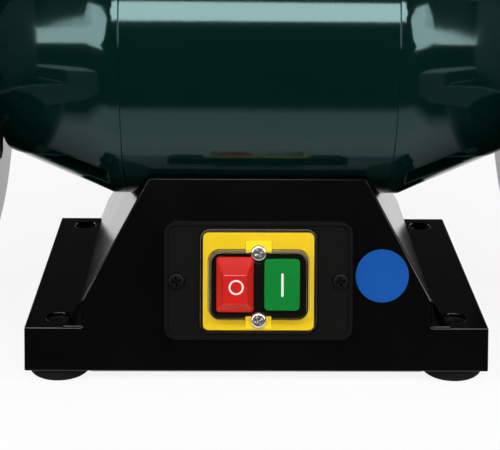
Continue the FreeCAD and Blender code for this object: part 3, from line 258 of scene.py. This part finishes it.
def gritStone(name, look):
    finish = Finish(name, IOR=1.4)
    grit = finish.cells(look["grit"])
    tone = finish.start.node("RGBToBW", None, {"Color": finish.cells(look["grit"], "Color")})
    cloud = finish.noise(look["cloud"], detail=3)
    pores = finish.ramp(finish.noise(look["grit"] * look["poreScale"]), *look["pores"])
    base = finish.tones(look["toneShare"] * tone + look["cloudShare"] * cloud, look)
    base = finish.blend(look["poreShare"] * pores, base, rgba(look["poreColour"]))
    height = grit * -1.0 + pores * -look["poreDepth"]
    rough = look["rough"] + look["uneven"] * tone
    return finish.surface(base, rough, height, look["bite"], look["depth"])


coarseLook = {
    "dark": (0.1, 0.105, 0.11), "light": (0.34, 0.35, 0.36), "poreColour": (0.05, 0.05, 0.055),
    "grit": 850, "toneShare": 0.7, "cloud": 30, "cloudShare": 0.3,
    "poreScale": 0.6, "pores": (0.52, 0.62), "poreShare": 0.7, "poreDepth": 0.8,
    "rough": 0.8, "uneven": 0.15, "bite": 0.6, "depth": 0.0008,
}
fineLook = dict(
    coarseLook, dark=(0.26, 0.27, 0.28), light=(0.52, 0.53, 0.55), poreColour=(0.15, 0.15, 0.16), grit=1500,
)


def softRubber(name, look):
    finish = Finish(name, IOR=1.45, Specular_IOR_Level=look["shine"])
    grain = finish.noise(look["grain"], detail=3, rough=0.6)
    cloud = finish.noise(look["cloud"], detail=3)
    rough = look["rough"] + look["uneven"] * grain
    return finish.surface(finish.tones(cloud, look), rough, grain, look["bite"], look["depth"])


rubberLook = {
    "dark": (0.003, 0.003, 0.003), "light": (0.006, 0.006, 0.006), "cloud": 80, "shine": 0.15,
    "rough": 0.62, "uneven": 0.2, "grain": 1800, "bite": 0.25, "depth": 0.0003,
}


def paperCard(name, look):
    finish = Finish(name)
    fibre = finish.noise(look["fibre"], detail=4, rough=0.7, place=finish.stretched(*look["along"]))
    rough = look["rough"] + look["uneven"] * fibre
    return finish.surface(finish.tones(fibre, look), rough, fibre, look["bite"], look["depth"])


cardLook = {
    "dark": (0.42, 0.36, 0.24), "light": (0.62, 0.56, 0.42), "fibre": 700, "along": (1, 1, 0.3),
    "rough": 0.8, "uneven": 0.1, "bite": 0.3, "depth": 0.0002,
}


def clearSheet(name, look):
    # Clear where it is faced. Along the turn of an edge a dark share is mixed in, which is painted shade
    # with real gloss on it. Where a wall is seen along its face the colour turns pale, which is a painted
    # reflection.
    finish = Finish(name, IOR=1.45, Roughness=look["rough"])
    haze = finish.noise(look["haze"], detail=3)
    glance = finish.start.node("LayerWeight", None, {"Blend": look["glance"]}, "Facing")
    body = finish.tones(haze, look)
    # painted reflection: the base colour turns pale where a wall is seen at a grazing angle
    finish.feed(Base_Color=finish.blend(finish.ramp(glance, *look["turn"]), body, rgba(look["pale"])))
    # painted shade with real gloss: a dark opaque share rises along edges seen at a grazing angle
    seen = look["seen"] + look["rim"] * glance * glance + look["hazeShare"] * haze
    clear = finish.start.node("BsdfTransparent", None, {"Color": rgba(look["through"])})
    gloss = Shade(finish.tree, finish.shader.outputs[0])
    finish.show(finish.start.node("MixShader", None, {0: seen, 1: clear, 2: gloss}))
    return finish.material


# cover: its dark to light tones are painted shade, shown along edges seen at a grazing angle, and its pale
# colour is a painted reflection
coverLook = {
    "dark": (0.012, 0.012, 0.01), "light": (0.03, 0.03, 0.026), "pale": (0.62, 0.57, 0.44),
    "through": (0.97, 0.97, 0.95), "rough": 0.06, "haze": 300, "hazeShare": 0.01,
    "glance": 0.5, "turn": (0.72, 0.86), "seen": 0.015, "rim": 0.85,
}
# shields: blue-grey tones are mixed in along edges seen at a grazing angle, and the pale colour is a
# painted reflection
shieldLook = dict(
    coverLook, dark=(0.45, 0.52, 0.54), light=(0.6, 0.68, 0.7), pale=(0.7, 0.78, 0.8),
    through=(0.95, 0.975, 0.975), rough=0.03, haze=40, glance=0.4, turn=(0.6, 0.9), seen=0.06, rim=0.6,
)


def printedInk(name, look):
    finish = Finish(name, IOR=1.45, Specular_IOR_Level=look["shine"])
    grain = finish.noise(look["grain"], detail=3)
    finish.feed(Base_Color=finish.tones(grain, look), Roughness=look["rough"] + look["uneven"] * grain)
    return finish.material


markLook = {
    "dark": (0.8, 0.78, 0.77), "light": (0.9, 0.89, 0.88), "shine": 0.5,
    "grain": 1200, "rough": 0.35, "uneven": 0.15,
}
labelLook = dict(
    markLook, dark=(0.0004, 0.054, 0.25), light=(0.0006, 0.065, 0.295), shine=0.25, grain=500, rough=0.3,
)

slotFinish = {
    "base_paint": glossPaint("baseBlackPaint", blackLook),
    "guard_paint": glossPaint("guardBlackPaint", guardLook),
    "motor_paint": glossPaint("motorGreenPaint", greenLook),
    "foot_rubber": softRubber("footRubber", rubberLook),
    "plated_steel": workedMetal("zincPlate", zincLook),
    "shaft_steel": workedMetal("groundShaft", shaftLook),
    "bearing_steel": workedMetal("bearingSteel", bearingLook),
    "core_steel": bandedMetal("stackedCore", coreLook),
    "winding_copper": bandedMetal("windingCopper", coilLook),
    "coarse_abrasive": gritStone("coarseGrit", coarseLook),
    "fine_abrasive": gritStone("fineGrit", fineLook),
    "blotter_paper": paperCard("blotterCard", cardLook),
    "rest_cast": castMetal("restCasting", castLook),
    "black_plastic": mouldedPlastic("bezelPlastic", bezelLook),
    "black_screw": workedMetal("blackenedScrew", stainLook),
    "bright_screw": workedMetal("nickelScrew", nickelLook),
    "yellow_plastic": mouldedPlastic("yellowFace", yellowLook),
    "red_plastic": mouldedPlastic("redButton", redLook),
    "green_plastic": mouldedPlastic("greenButton", greenButtonLook),
    "clear_plastic": clearSheet("dustCoverClear", coverLook),
    "shield_clear": clearSheet("shieldClear", shieldLook),
    "capacitor_case": mouldedPlastic("capacitorCase", caseLook),
}
for nodeName, part in frame["nodes"].items():
    part.data.materials.clear()
    part.data.materials.append(slotFinish[nodeSlot[nodeName]])
frame["nodes"]["bottom_plate_screws"].data.materials[0] = slotFinish["black_screw"]
print("finishes:", len(slotFinish))


# pieces dressed from the CAD nodes: merged, edges rounded, shaded smooth

def pickOnly(*objects):
    bpy.ops.object.select_all(action="DESELECT")
    for one in objects:
        one.select_set(True)
    bpy.context.view_layer.objects.active = objects[-1]


def camel(name):
    first, *rest = name.split("_")
    return first + "".join(word.capitalize() for word in rest)


def roundOff(piece, edge, steps, angle):  # edge in millimetres, angle in degrees
    pickOnly(piece)
    rounding = piece.modifiers.new("edges", "BEVEL")
    rounding.width = edge * mm
    rounding.segments = steps
    rounding.limit_method = "ANGLE"
    rounding.angle_limit = math.radians(angle)
    rounding.use_clamp_overlap = False
    rounding.miter_outer = "MITER_ARC"
    bpy.ops.object.modifier_apply(modifier=rounding.name)


def flatten(piece, angle):
    # Large flat faces keep their own normal, and only the rounded edges turn between them.
    pickOnly(piece)
    bpy.ops.object.shade_smooth_by_angle(angle=math.radians(angle))
    leaning = piece.modifiers.new("normals", "WEIGHTED_NORMAL")
    leaning.keep_sharp = True
    leaning.weight = 100
    bpy.ops.object.modifier_apply(modifier=leaning.name)


skin = {"merge": 0.005, "flat": 0.03, "steps": 3, "angle": 35, "smooth": 32}


def dress(nodeName, look):
    source = frame["nodes"][nodeName]
    piece = bpy.data.objects.new(camel(nodeName) + "Skin", source.data.copy())
    bpy.context.scene.collection.objects.link(piece)
    pickOnly(piece)
    bpy.ops.mesh.customdata_custom_splitnormals_clear()
    bpy.ops.object.mode_set(mode="EDIT")
    bpy.ops.mesh.select_all(action="SELECT")
    bpy.ops.mesh.remove_doubles(threshold=skin["merge"] * mm)
    bpy.ops.mesh.dissolve_limited(angle_limit=math.radians(skin["flat"]))
    bpy.ops.object.mode_set(mode="OBJECT")
    roundOff(piece, look["edge"], skin["steps"], look.get("angle", skin["angle"]))
    flatten(piece, skin["smooth"])
    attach(piece, nodeBody[nodeName])
    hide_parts(nodeName)


dressed = {  # edge radii in millimetres; sides means a left and a right node
    "base_pedestal": {"edge": 0.7, "angle": 71},
    "motor_tube": {"edge": 0.35},
    "end_bell": {"edge": 0.5, "sides": True},
    "wheel_guard": {"edge": 0.5, "sides": True},
    "guard_cover": {"edge": 0.5, "sides": True},
    "grinding_wheel": {"edge": 0.4, "sides": True},
    "tool_rest": {"edge": 0.8, "sides": True},
    "rest_knob": {"edge": 0.9, "sides": True},
    "spark_plate": {"edge": 0.35, "sides": True},
    "shield_bracket": {"edge": 0.4, "sides": True},
    "eye_shield": {"edge": 0.6, "sides": True},
    "foot_front": {"edge": 0.8, "sides": True},
    "foot_rear": {"edge": 0.8, "sides": True},
    "bottom_plate": {"edge": 0.3},
    "cable_gland": {"edge": 0.6},
    "guard_bolts": {"edge": 0.4},
    "shield_bolts": {"edge": 0.4},
    "rest_bolts": {"edge": 0.5},
    "spark_screws": {"edge": 0.35},
    "wheel_nuts": {"edge": 0.6},
    "inner_flanges": {"edge": 0.5},
    "outer_flanges": {"edge": 0.5},
    "rotor_shaft": {"edge": 0.3},
    "wheel_blotters": {"edge": 0.1},
}
dressedCount = 0
for stem, look in dressed.items():
    for nodeName in [stem + "_left", stem + "_right"] if look.get("sides") else [stem]:
        dress(nodeName, look)
        dressedCount += 1
print("dressed:", dressedCount, "nodes")


# switch panel: its own frame in millimetres, x across, s up the slope, n out of it

panel = {"low": (0.6, -80, 29), "setback": 21.9, "height": 70.8, "smooth": 30}
lean = math.atan(panel["setback"] / panel["height"])
panelTurn = Matrix.Rotation(math.pi / 2 - lean, 4, "X")
panelFrame = Matrix.Translation([value * mm for value in panel["low"]]) @ panelTurn


def onPanel(x, s, n):
    return panelFrame @ Matrix.Translation((x * mm, s * mm, n * mm))


def settle(piece, matrix):
    # The place goes into the mesh, and the object back to the origin.
    piece.data.transform(matrix @ piece.matrix_world)
    piece.matrix_world = Matrix.Identity(4)


def finishPiece(piece, name, body, material):
    piece.name = name
    piece.data.materials.clear()
    piece.data.materials.append(material)
    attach(piece, body)


def standFor(piece, name, node):
    finishPiece(piece, name, nodeBody[node], slotFinish[nodeSlot[node]])
    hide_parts(node)


levelFace = 0.99  # how far a flat face's normal has to point up or down


def facesUp(face):
    return face.normal.z > levelFace


def facesDown(face):
    return face.normal.z < -levelFace


def selectFaces(piece, wanted):
    bpy.ops.object.mode_set(mode="OBJECT")
    for face in piece.data.polygons:
        face.select = wanted(face)
    for edge in piece.data.edges:
        edge.select = False
    for corner in piece.data.vertices:
        corner.select = False
    for face in piece.data.polygons:
        if face.select:
            for index in face.vertices:
                piece.data.vertices[index].select = True
    bpy.ops.object.mode_set(mode="EDIT")
    bpy.ops.mesh.select_mode(type="FACE")


def selectEdges(piece, wanted):
    bpy.ops.object.mode_set(mode="EDIT")
    bpy.ops.mesh.select_mode(type="EDGE")
    bpy.ops.mesh.select_all(action="DESELECT")
    bpy.ops.object.mode_set(mode="OBJECT")
    corners = piece.data.vertices
    for edge in piece.data.edges:
        edge.select = wanted(*(corners[index].co for index in edge.vertices))
    bpy.ops.object.mode_set(mode="EDIT")


def combine(piece, tool, operation="DIFFERENCE"):
    pickOnly(piece)
    shaping = piece.modifiers.new("shaping", "BOOLEAN")
    shaping.object = tool
    shaping.operation = operation
    bpy.ops.object.modifier_apply(modifier=shaping.name)
    bpy.data.objects.remove(tool)


def puck(across, tall, sides, s=0.0, n=0.0):
    bpy.ops.object.select_all(action="DESELECT")
    bpy.ops.mesh.primitive_cylinder_add(vertices=sides, radius=across / 2 * mm, depth=tall * mm,
                                        location=(0, s * mm, n * mm))
    bpy.ops.object.transform_apply()
    return bpy.context.object


slabSteps = {"corner": 8, "edge": 4, "slack": 0.001}


def slab(look):
    # A plate in the panel's frame, its corners rounded first and then its top edge.
    low, top = look["low"], look["top"]
    middle = (look.get("x", 0) * mm, look["s"] * mm, (low + top) / 2 * mm)
    bpy.ops.object.select_all(action="DESELECT")
    bpy.ops.mesh.primitive_cube_add(size=1, location=middle,
                                    scale=(look["wide"] * mm, look["tall"] * mm, (top - low) * mm))
    plate = bpy.context.object
    bpy.ops.object.transform_apply()
    selectEdges(plate, lambda one, two: abs(one.z - two.z) > (top - low) / 2 * mm)
    bpy.ops.mesh.bevel(offset=look["corner"] * mm, segments=slabSteps["corner"], affect="EDGES")
    if "draft" in look:
        selectFaces(plate, facesUp)
        bpy.ops.transform.resize(value=(look["draft"], look["draft"], 1))
    if "edge" in look:
        selectEdges(plate, lambda one, two: min(one.z, two.z) > (top - slabSteps["slack"]) * mm)
        bpy.ops.mesh.bevel(offset=look["edge"] * mm, segments=slabSteps["edge"], affect="EDGES")
    bpy.ops.object.mode_set(mode="OBJECT")
    return plate


def switchPiece(piece, name, node):
    flatten(piece, panel["smooth"])
    settle(piece, panelFrame)
    standFor(piece, name, node)


# "rounding" is the edge in millimetres, its steps, and the angle that it starts at

bezel = {"wide": 93.7, "tall": 58.7, "corner": 6, "edge": 0.5, "s": 23.6, "low": 0, "top": 4.0,
         "rounding": (0.25, 2, 40)}
field = {"wide": 89.7, "tall": 54.7, "corner": 4, "s": 23.6, "low": 3.0, "top": 5.0}  # sunk inside the rim
opening = {"wide": 58.6, "tall": 52.1, "corner": 4.6, "s": 23.6, "low": -2, "top": 8}
bezelPlate = slab(bezel)
combine(bezelPlate, slab(field))
combine(bezelPlate, slab(opening))
roundOff(bezelPlate, *bezel["rounding"])
switchPiece(bezelPlate, "bezelFrame", "switch_bezel")

facePlate = {"wide": 55, "tall": 48.5, "corner": 2.8, "edge": 0.5, "s": 23.6, "low": 2.0, "top": 5.2,
             "rounding": (0.2, 2, 50)}
window = {"wide": 50.4, "tall": 35.2, "corner": 6, "s": 22.0, "low": 0, "top": 9}
tab = {"wide": 12.9, "tall": 5.8, "corner": 0.5, "edge": 0.25, "low": 2.0, "top": 5.9}
tabPlaces = (40.95, 3.3)
plate = slab(facePlate)
combine(plate, slab(window))
for rise in tabPlaces:
    combine(plate, slab(dict(tab, s=rise)), "UNION")
roundOff(plate, *facePlate["rounding"])
switchPiece(plate, "yellowPlate", "switch_plate")

stopPad = {"wide": 18.5, "tall": 27.6, "corner": 1.5, "x": -11.65, "s": 22.0, "low": -2.0, "top": 5.0}
stopCrown = {"wide": 11.5, "tall": 13.9, "drop": 2.0, "rise": 5.0, "rounding": (0.45, 3, 20)}
crownShrink = (stopCrown["wide"] / stopPad["wide"], stopCrown["tall"] / stopPad["tall"], 1)
stopButton = slab(stopPad)
selectFaces(stopButton, facesUp)
bpy.ops.mesh.extrude_region_move(TRANSFORM_OT_translate={"value": (0, 0, stopCrown["rise"] * mm)})
bpy.ops.transform.resize(value=crownShrink)
bpy.ops.transform.translate(value=(0, -stopCrown["drop"] * mm, 0))
bpy.ops.object.mode_set(mode="OBJECT")
roundOff(stopButton, *stopCrown["rounding"])
switchPiece(stopButton, "stopButtonCap", "stop_button")

startPad = {"wide": 17.7, "tall": 25.7, "corner": 2.0, "edge": 0.6, "x": 11.65, "s": 22.0, "low": -2.0,
            "top": 5.6}
startCrown = {"inset": 0.9, "sink": 0.15}
startButton = slab(startPad)
selectFaces(startButton, facesUp)
bpy.ops.mesh.inset(thickness=startCrown["inset"] * mm)
bpy.ops.transform.translate(value=(0, 0, -startCrown["sink"] * mm))
bpy.ops.object.mode_set(mode="OBJECT")
switchPiece(startButton, "startButtonCap", "start_button")

capOuter = {"wide": 58, "tall": 51.5, "corner": 5, "draft": 0.984, "edge": 0.7, "s": 23.6, "low": 2.0,
            "top": 6.4, "rounding": (0.25, 2, 50)}
capInner = {"wide": 55.6, "tall": 49.1, "corner": 3.4, "s": 23.6, "low": 0, "top": 5.6}
domeOuter = {"wide": 50.4, "tall": 35.2, "corner": 6, "draft": 0.955, "edge": 1.1, "s": 22.0, "low": 5.6,
             "top": 12.6}
domeInner = {"wide": 48.8, "tall": 33.6, "corner": 5.2, "draft": 0.955, "edge": 0.6, "s": 22.0, "low": -0.8,
             "top": 11.8}
notch = {"wide": 13.5, "tall": 6.4, "corner": 0.4, "low": 2.0, "top": 8.4}  # round each tab of the plate
relief = {"across": 9.4, "deep": 60, "sides": 48, "places": (37.85, 4.55)}  # round each bright screw
cover = slab(capOuter)
combine(cover, slab(domeOuter), "UNION")
combine(cover, slab(capInner))
combine(cover, slab(domeInner))
for rise, tabRise in zip(relief["places"], tabPlaces):
    combine(cover, puck(relief["across"], relief["deep"], relief["sides"], s=rise))
    combine(cover, slab(dict(notch, s=tabRise)))
roundOff(cover, *capOuter["rounding"])
switchPiece(cover, "clearCover", "dust_cover")
print("switch made")


# cross-head screws; the recess's blades are shares of the head

cross = {"sides": 48, "steps": 5, "long": 0.62, "thick": 0.16, "taper": 0.55, "proud": 0.2, "smooth": 40}


def crossHead(look):
    # A pan head with a crossed recess, its seat on z 0.
    head = puck(look["head"], look["tall"], cross["sides"], n=look["tall"] / 2)
    selectFaces(head, facesUp)
    bpy.ops.mesh.bevel(offset=look["crown"] * mm, segments=cross["steps"], affect="EDGES")
    selectFaces(head, facesDown)
    bpy.ops.mesh.inset(thickness=(look["head"] - look["shank"]) / 2 * mm)
    bpy.ops.mesh.extrude_region_move(TRANSFORM_OT_translate={"value": (0, 0, -look["reach"] * mm)})
    bpy.ops.object.mode_set(mode="OBJECT")
    deep = look["recess"] + 2 * cross["proud"]
    middle = look["tall"] - look["recess"] / 2 + cross["proud"]
    for turn in (0, 90):
        bpy.ops.object.select_all(action="DESELECT")
        bpy.ops.mesh.primitive_cube_add(size=1, location=(0, 0, middle * mm),
                                        rotation=(0, 0, math.radians(turn + look["turn"])))
        blade = bpy.context.object
        blade.scale = (look["head"] * cross["long"] * mm, look["head"] * cross["thick"] * mm, deep * mm)
        bpy.ops.object.transform_apply()
        selectFaces(blade, facesDown)
        bpy.ops.transform.resize(value=(cross["taper"], cross["taper"], 1))
        bpy.ops.object.mode_set(mode="OBJECT")
        combine(head, blade)
    pickOnly(head)
    bpy.ops.object.shade_smooth_by_angle(angle=math.radians(cross["smooth"]))
    return head


def screwSet(name, look, places, node):
    # One head copied to each place, then joined as the node's own screws.
    pattern = crossHead(look)
    copies = []
    for index, matrix in enumerate(places):
        copy = bpy.data.objects.new(name + str(index), pattern.data.copy())
        bpy.context.scene.collection.objects.link(copy)
        copy.data.transform(matrix)
        copies.append(copy)
    bpy.data.objects.remove(pattern)
    pickOnly(*copies)
    bpy.ops.object.join()
    standFor(bpy.context.object, name, node)


faceScrews = {"head": 8, "shank": 3.5, "tall": 2.2, "crown": 1.3, "recess": 1.5, "reach": 12, "turn": 28,
              "places": ((0, 37.85, 5.9), (0, 4.55, 5.9))}
bezelScrews = {"head": 8.2, "shank": 4, "tall": 1.8, "crown": 0.9, "recess": 1.4, "reach": 8, "turn": 10,
               "places": ((-40.75, 23.6, 3), (40.75, 23.6, 3))}
coverScrews = {"head": 9.5, "shank": 5, "tall": 3, "crown": 1.5, "recess": 2, "reach": 16, "turn": 20,
               "ring": 219, "shaft": 152, "face": 192, "angles": (92, 180, 268)}
screwSet("faceScrews", faceScrews, [onPanel(*place) for place in faceScrews["places"]], "plate_screws")
screwSet("bezelScrews", bezelScrews, [onPanel(*place) for place in bezelScrews["places"]], "bezel_screws")
coverPlaces = []
for side in (-1, 1):
    facing = Matrix.Rotation(side * math.pi / 2, 4, "Y")
    for angle in coverScrews["angles"]:
        y = -coverScrews["ring"] / 2 * math.cos(math.radians(angle))
        z = coverScrews["shaft"] + coverScrews["ring"] / 2 * math.sin(math.radians(angle))
        coverPlaces.append(Matrix.Translation((side * coverScrews["face"] * mm, y * mm, z * mm)) @ facing)
screwSet("guardCoverScrews", coverScrews, coverPlaces, "cover_screws")
print("screws made")


# marks on the buttons and the plain round label

whiteInk = printedInk("whiteInk", markLook)
stopMark = {"x": -11.1, "s": 21.1, "n": 10.0, "across": 7.4, "line": 0.85, "tall": 0.12, "sides": 64}
ring = puck(stopMark["across"], stopMark["tall"], stopMark["sides"])
selectFaces(ring, lambda face: facesUp(face) or facesDown(face))
bpy.ops.mesh.inset(thickness=stopMark["line"] * mm, use_individual=True)
bpy.ops.mesh.bridge_edge_loops()
bpy.ops.object.mode_set(mode="OBJECT")
settle(ring, onPanel(stopMark["x"], stopMark["s"], stopMark["n"]))
finishPiece(ring, "stopMark", "stop_button", whiteInk)

startMark = {"x": 11.8, "s": 21.9, "n": 5.47, "wide": 1.2, "long": 11.8, "tall": 0.12, "sides": 24}
bar = puck(startMark["wide"], startMark["tall"], startMark["sides"])
stretch = (startMark["long"] - startMark["wide"]) / 2 * mm
for corner in bar.data.vertices:
    corner.co.y += math.copysign(stretch, corner.co.y)
settle(bar, onPanel(startMark["x"], startMark["s"], startMark["n"]))
finishPiece(bar, "startMark", "start_button", whiteInk)

label = {"x": 61.73, "s": 26.1, "across": 26.56, "tall": 0.25, "sides": 96, "edge": 0.1, "steps": 2}
disc = puck(label["across"], label["tall"], label["sides"])
selectFaces(disc, facesUp)
bpy.ops.mesh.bevel(offset=label["edge"] * mm, segments=label["steps"], affect="EDGES")
bpy.ops.object.mode_set(mode="OBJECT")
settle(disc, onPanel(label["x"], label["s"], label["tall"] / 2))
finishPiece(disc, "roundLabel", "base", printedInk("labelBlue", labelLook))
print("marks and label made")


# floor: white to the eye with a share of the shadow, and to gloss white only before and behind the object

stage = {
    "size": 60, "drop": 0.0002, "tone": (0.86, 0.86, 0.86),
    "shadowShare": 0.13, "shadowStart": 0.5, "shadowEnd": 1.6,
    "frontEdge": -0.28, "nearEdge": -0.06, "nearSoft": 0.06, "halfWidth": 0.23, "near": 0.9,
    "backEdge": 0.1, "soft": 0.03, "dim": 0.03,
}
bpy.ops.object.select_all(action="DESELECT")
bpy.ops.mesh.primitive_plane_add(size=stage["size"], location=(0, 0, -stage["drop"]))
floor = bpy.context.object
floor.name = "floor"
floorFinish = Finish("paleFloor")
ground = floorFinish.start


def edgeAt(value, edge, soft):  # rises across the edge, or falls where soft is negative
    return floorFinish.ramp(value, edge - soft, edge + soft)


glossyRay = ground.ray("Glossy")
seenRay = (ground.ray("Camera") + glossyRay + ground.ray("Transmission")) > 0.5
across = abs(ground.node("SeparateXYZ", None, {"Vector": floorFinish.place}, "X"))
along = ground.node("SeparateXYZ", None, {"Vector": floorFinish.place}, "Y")
front = edgeAt(along, stage["frontEdge"], stage["soft"])
front = front * edgeAt(along, stage["nearEdge"], -stage["nearSoft"])
front = front * edgeAt(across, stage["halfWidth"], -stage["soft"])
behind = edgeAt(along, stage["backEdge"], stage["soft"])
bright = ground.maths("MAXIMUM", stage["near"] * front, behind)
level = 1 - glossyRay * (1 - stage["dim"]) * (1 - bright)
shadeTone = floorFinish.blend(level, rgba((0, 0, 0)), rgba(stage["tone"]))
plain = ground.node("BsdfDiffuse", None, {"Color": rgba(stage["tone"])})
shaded = ground.node("BsdfDiffuse", None, {"Color": shadeTone})
lit = ground.node("Emission", None, {"Color": rgba((1, 1, 1)), "Strength": level})
far = ground.node("VectorMath", {"operation": "LENGTH"}, {0: floorFinish.place}, "Value")
share = stage["shadowShare"] * floorFinish.ramp(far, stage["shadowEnd"], stage["shadowStart"])
faded = ground.node("MixShader", None, {0: share, 1: lit, 2: shaded})
floorFinish.show(ground.node("MixShader", None, {0: seenRay, 1: plain, 2: faded}))
floor.data.materials.append(floorFinish.material)


# world: white to the eye, to gloss only a low sheet behind the object, and nearly dark as a lamp

backdrop = {"from": 0.6, "top": 0.12, "elsewhere": 0.03}
world = bpy.data.worlds.new("studio")
bpy.context.scene.world = world
world.use_nodes = True
air = Shade(world.node_tree)
skyWay = air.node("TexCoord", give="Generated")
skyBack = air.node("SeparateXYZ", None, {"Vector": skyWay}, "Y")
skyUp = air.node("SeparateXYZ", None, {"Vector": skyWay}, "Z")
sheet = (skyBack > backdrop["from"]) * (skyUp < backdrop["top"])
skyRay = air.ray("Camera") + air.ray("Transmission") + sheet * air.ray("Glossy")
skyLevel = skyRay * (1 - backdrop["elsewhere"]) + backdrop["elsewhere"]
sky = world.node_tree.nodes["Background"]
sky.inputs["Color"].default_value = rgba((1, 1, 1))
world.node_tree.links.new(skyLevel.out, sky.inputs["Strength"])

lamps = {
    "overhead": {"at": (0.0, -0.25, 1.7), "to": (0, 0, 0.1), "wide": 1.5, "deep": 1.1, "power": 5},
    "key": {"at": (0.0, -1.5, 1.45), "to": (0, 0, 0.1), "wide": 1.1, "deep": 0.5, "power": 20},
    "frontLeft": {"at": (-1.25, -1.25, 0.95), "to": (0, 0, 0.08), "wide": 0.9, "deep": 0.9, "power": 18},
    "frontRight": {"at": (1.25, -1.25, 0.95), "to": (0, 0, 0.08), "wide": 0.9, "deep": 0.9, "power": 18},
    "backLeft": {"at": (-1.7, 1.1, 1.0), "to": (0, 0, 0.12), "wide": 0.8, "deep": 1.0, "power": 16},
    "backRight": {"at": (1.7, 1.1, 1.0), "to": (0, 0, 0.12), "wide": 0.8, "deep": 1.0, "power": 16},
}
for name, lamp in lamps.items():
    light = bpy.data.lights.new(name, "AREA")
    light.shape = "RECTANGLE"
    light.size = lamp["wide"]
    light.size_y = lamp["deep"]
    light.energy = lamp["power"]
    holder = bpy.data.objects.new(name, light)
    bpy.context.scene.collection.objects.link(holder)
    holder.location = lamp["at"]
    aim = Vector(lamp["to"]) - Vector(lamp["at"])
    holder.rotation_euler = aim.to_track_quat("-Z", "Y").to_euler()


# camera at the photograph's angle: metres, degrees, and millimetres of lens

shot = {"at": (-0.01293, -0.69958, 0.31232), "yaw": -0.834, "pitch": 20.257, "roll": 0.484,
        "lens": 98.034, "sensor": 36, "near": 0.01}
yaw, pitch, roll = (math.radians(shot[key]) for key in ("yaw", "pitch", "roll"))
ahead = Vector((-math.sin(yaw) * math.cos(pitch), math.cos(yaw) * math.cos(pitch), -math.sin(pitch)))
right = Vector((math.cos(yaw), math.sin(yaw), 0))
up = right.cross(ahead)
turnedRight = math.cos(roll) * right + math.sin(roll) * up
turnedUp = math.cos(roll) * up - math.sin(roll) * right
lens = bpy.data.cameras.new("camera")
lens.lens = shot["lens"]
lens.sensor_width = shot["sensor"]
lens.sensor_fit = "HORIZONTAL"
lens.clip_start = shot["near"]
camera = bpy.data.objects.new("camera", lens)
bpy.context.scene.collection.objects.link(camera)
basis = Matrix((turnedRight, turnedUp, -ahead)).transposed().to_4x4()
camera.matrix_world = Matrix.Translation(shot["at"]) @ basis
bpy.context.scene.camera = camera
bpy.context.scene.view_settings.view_transform = "Standard"
print("stage, light and camera set")

bpy.context.view_layer.update()
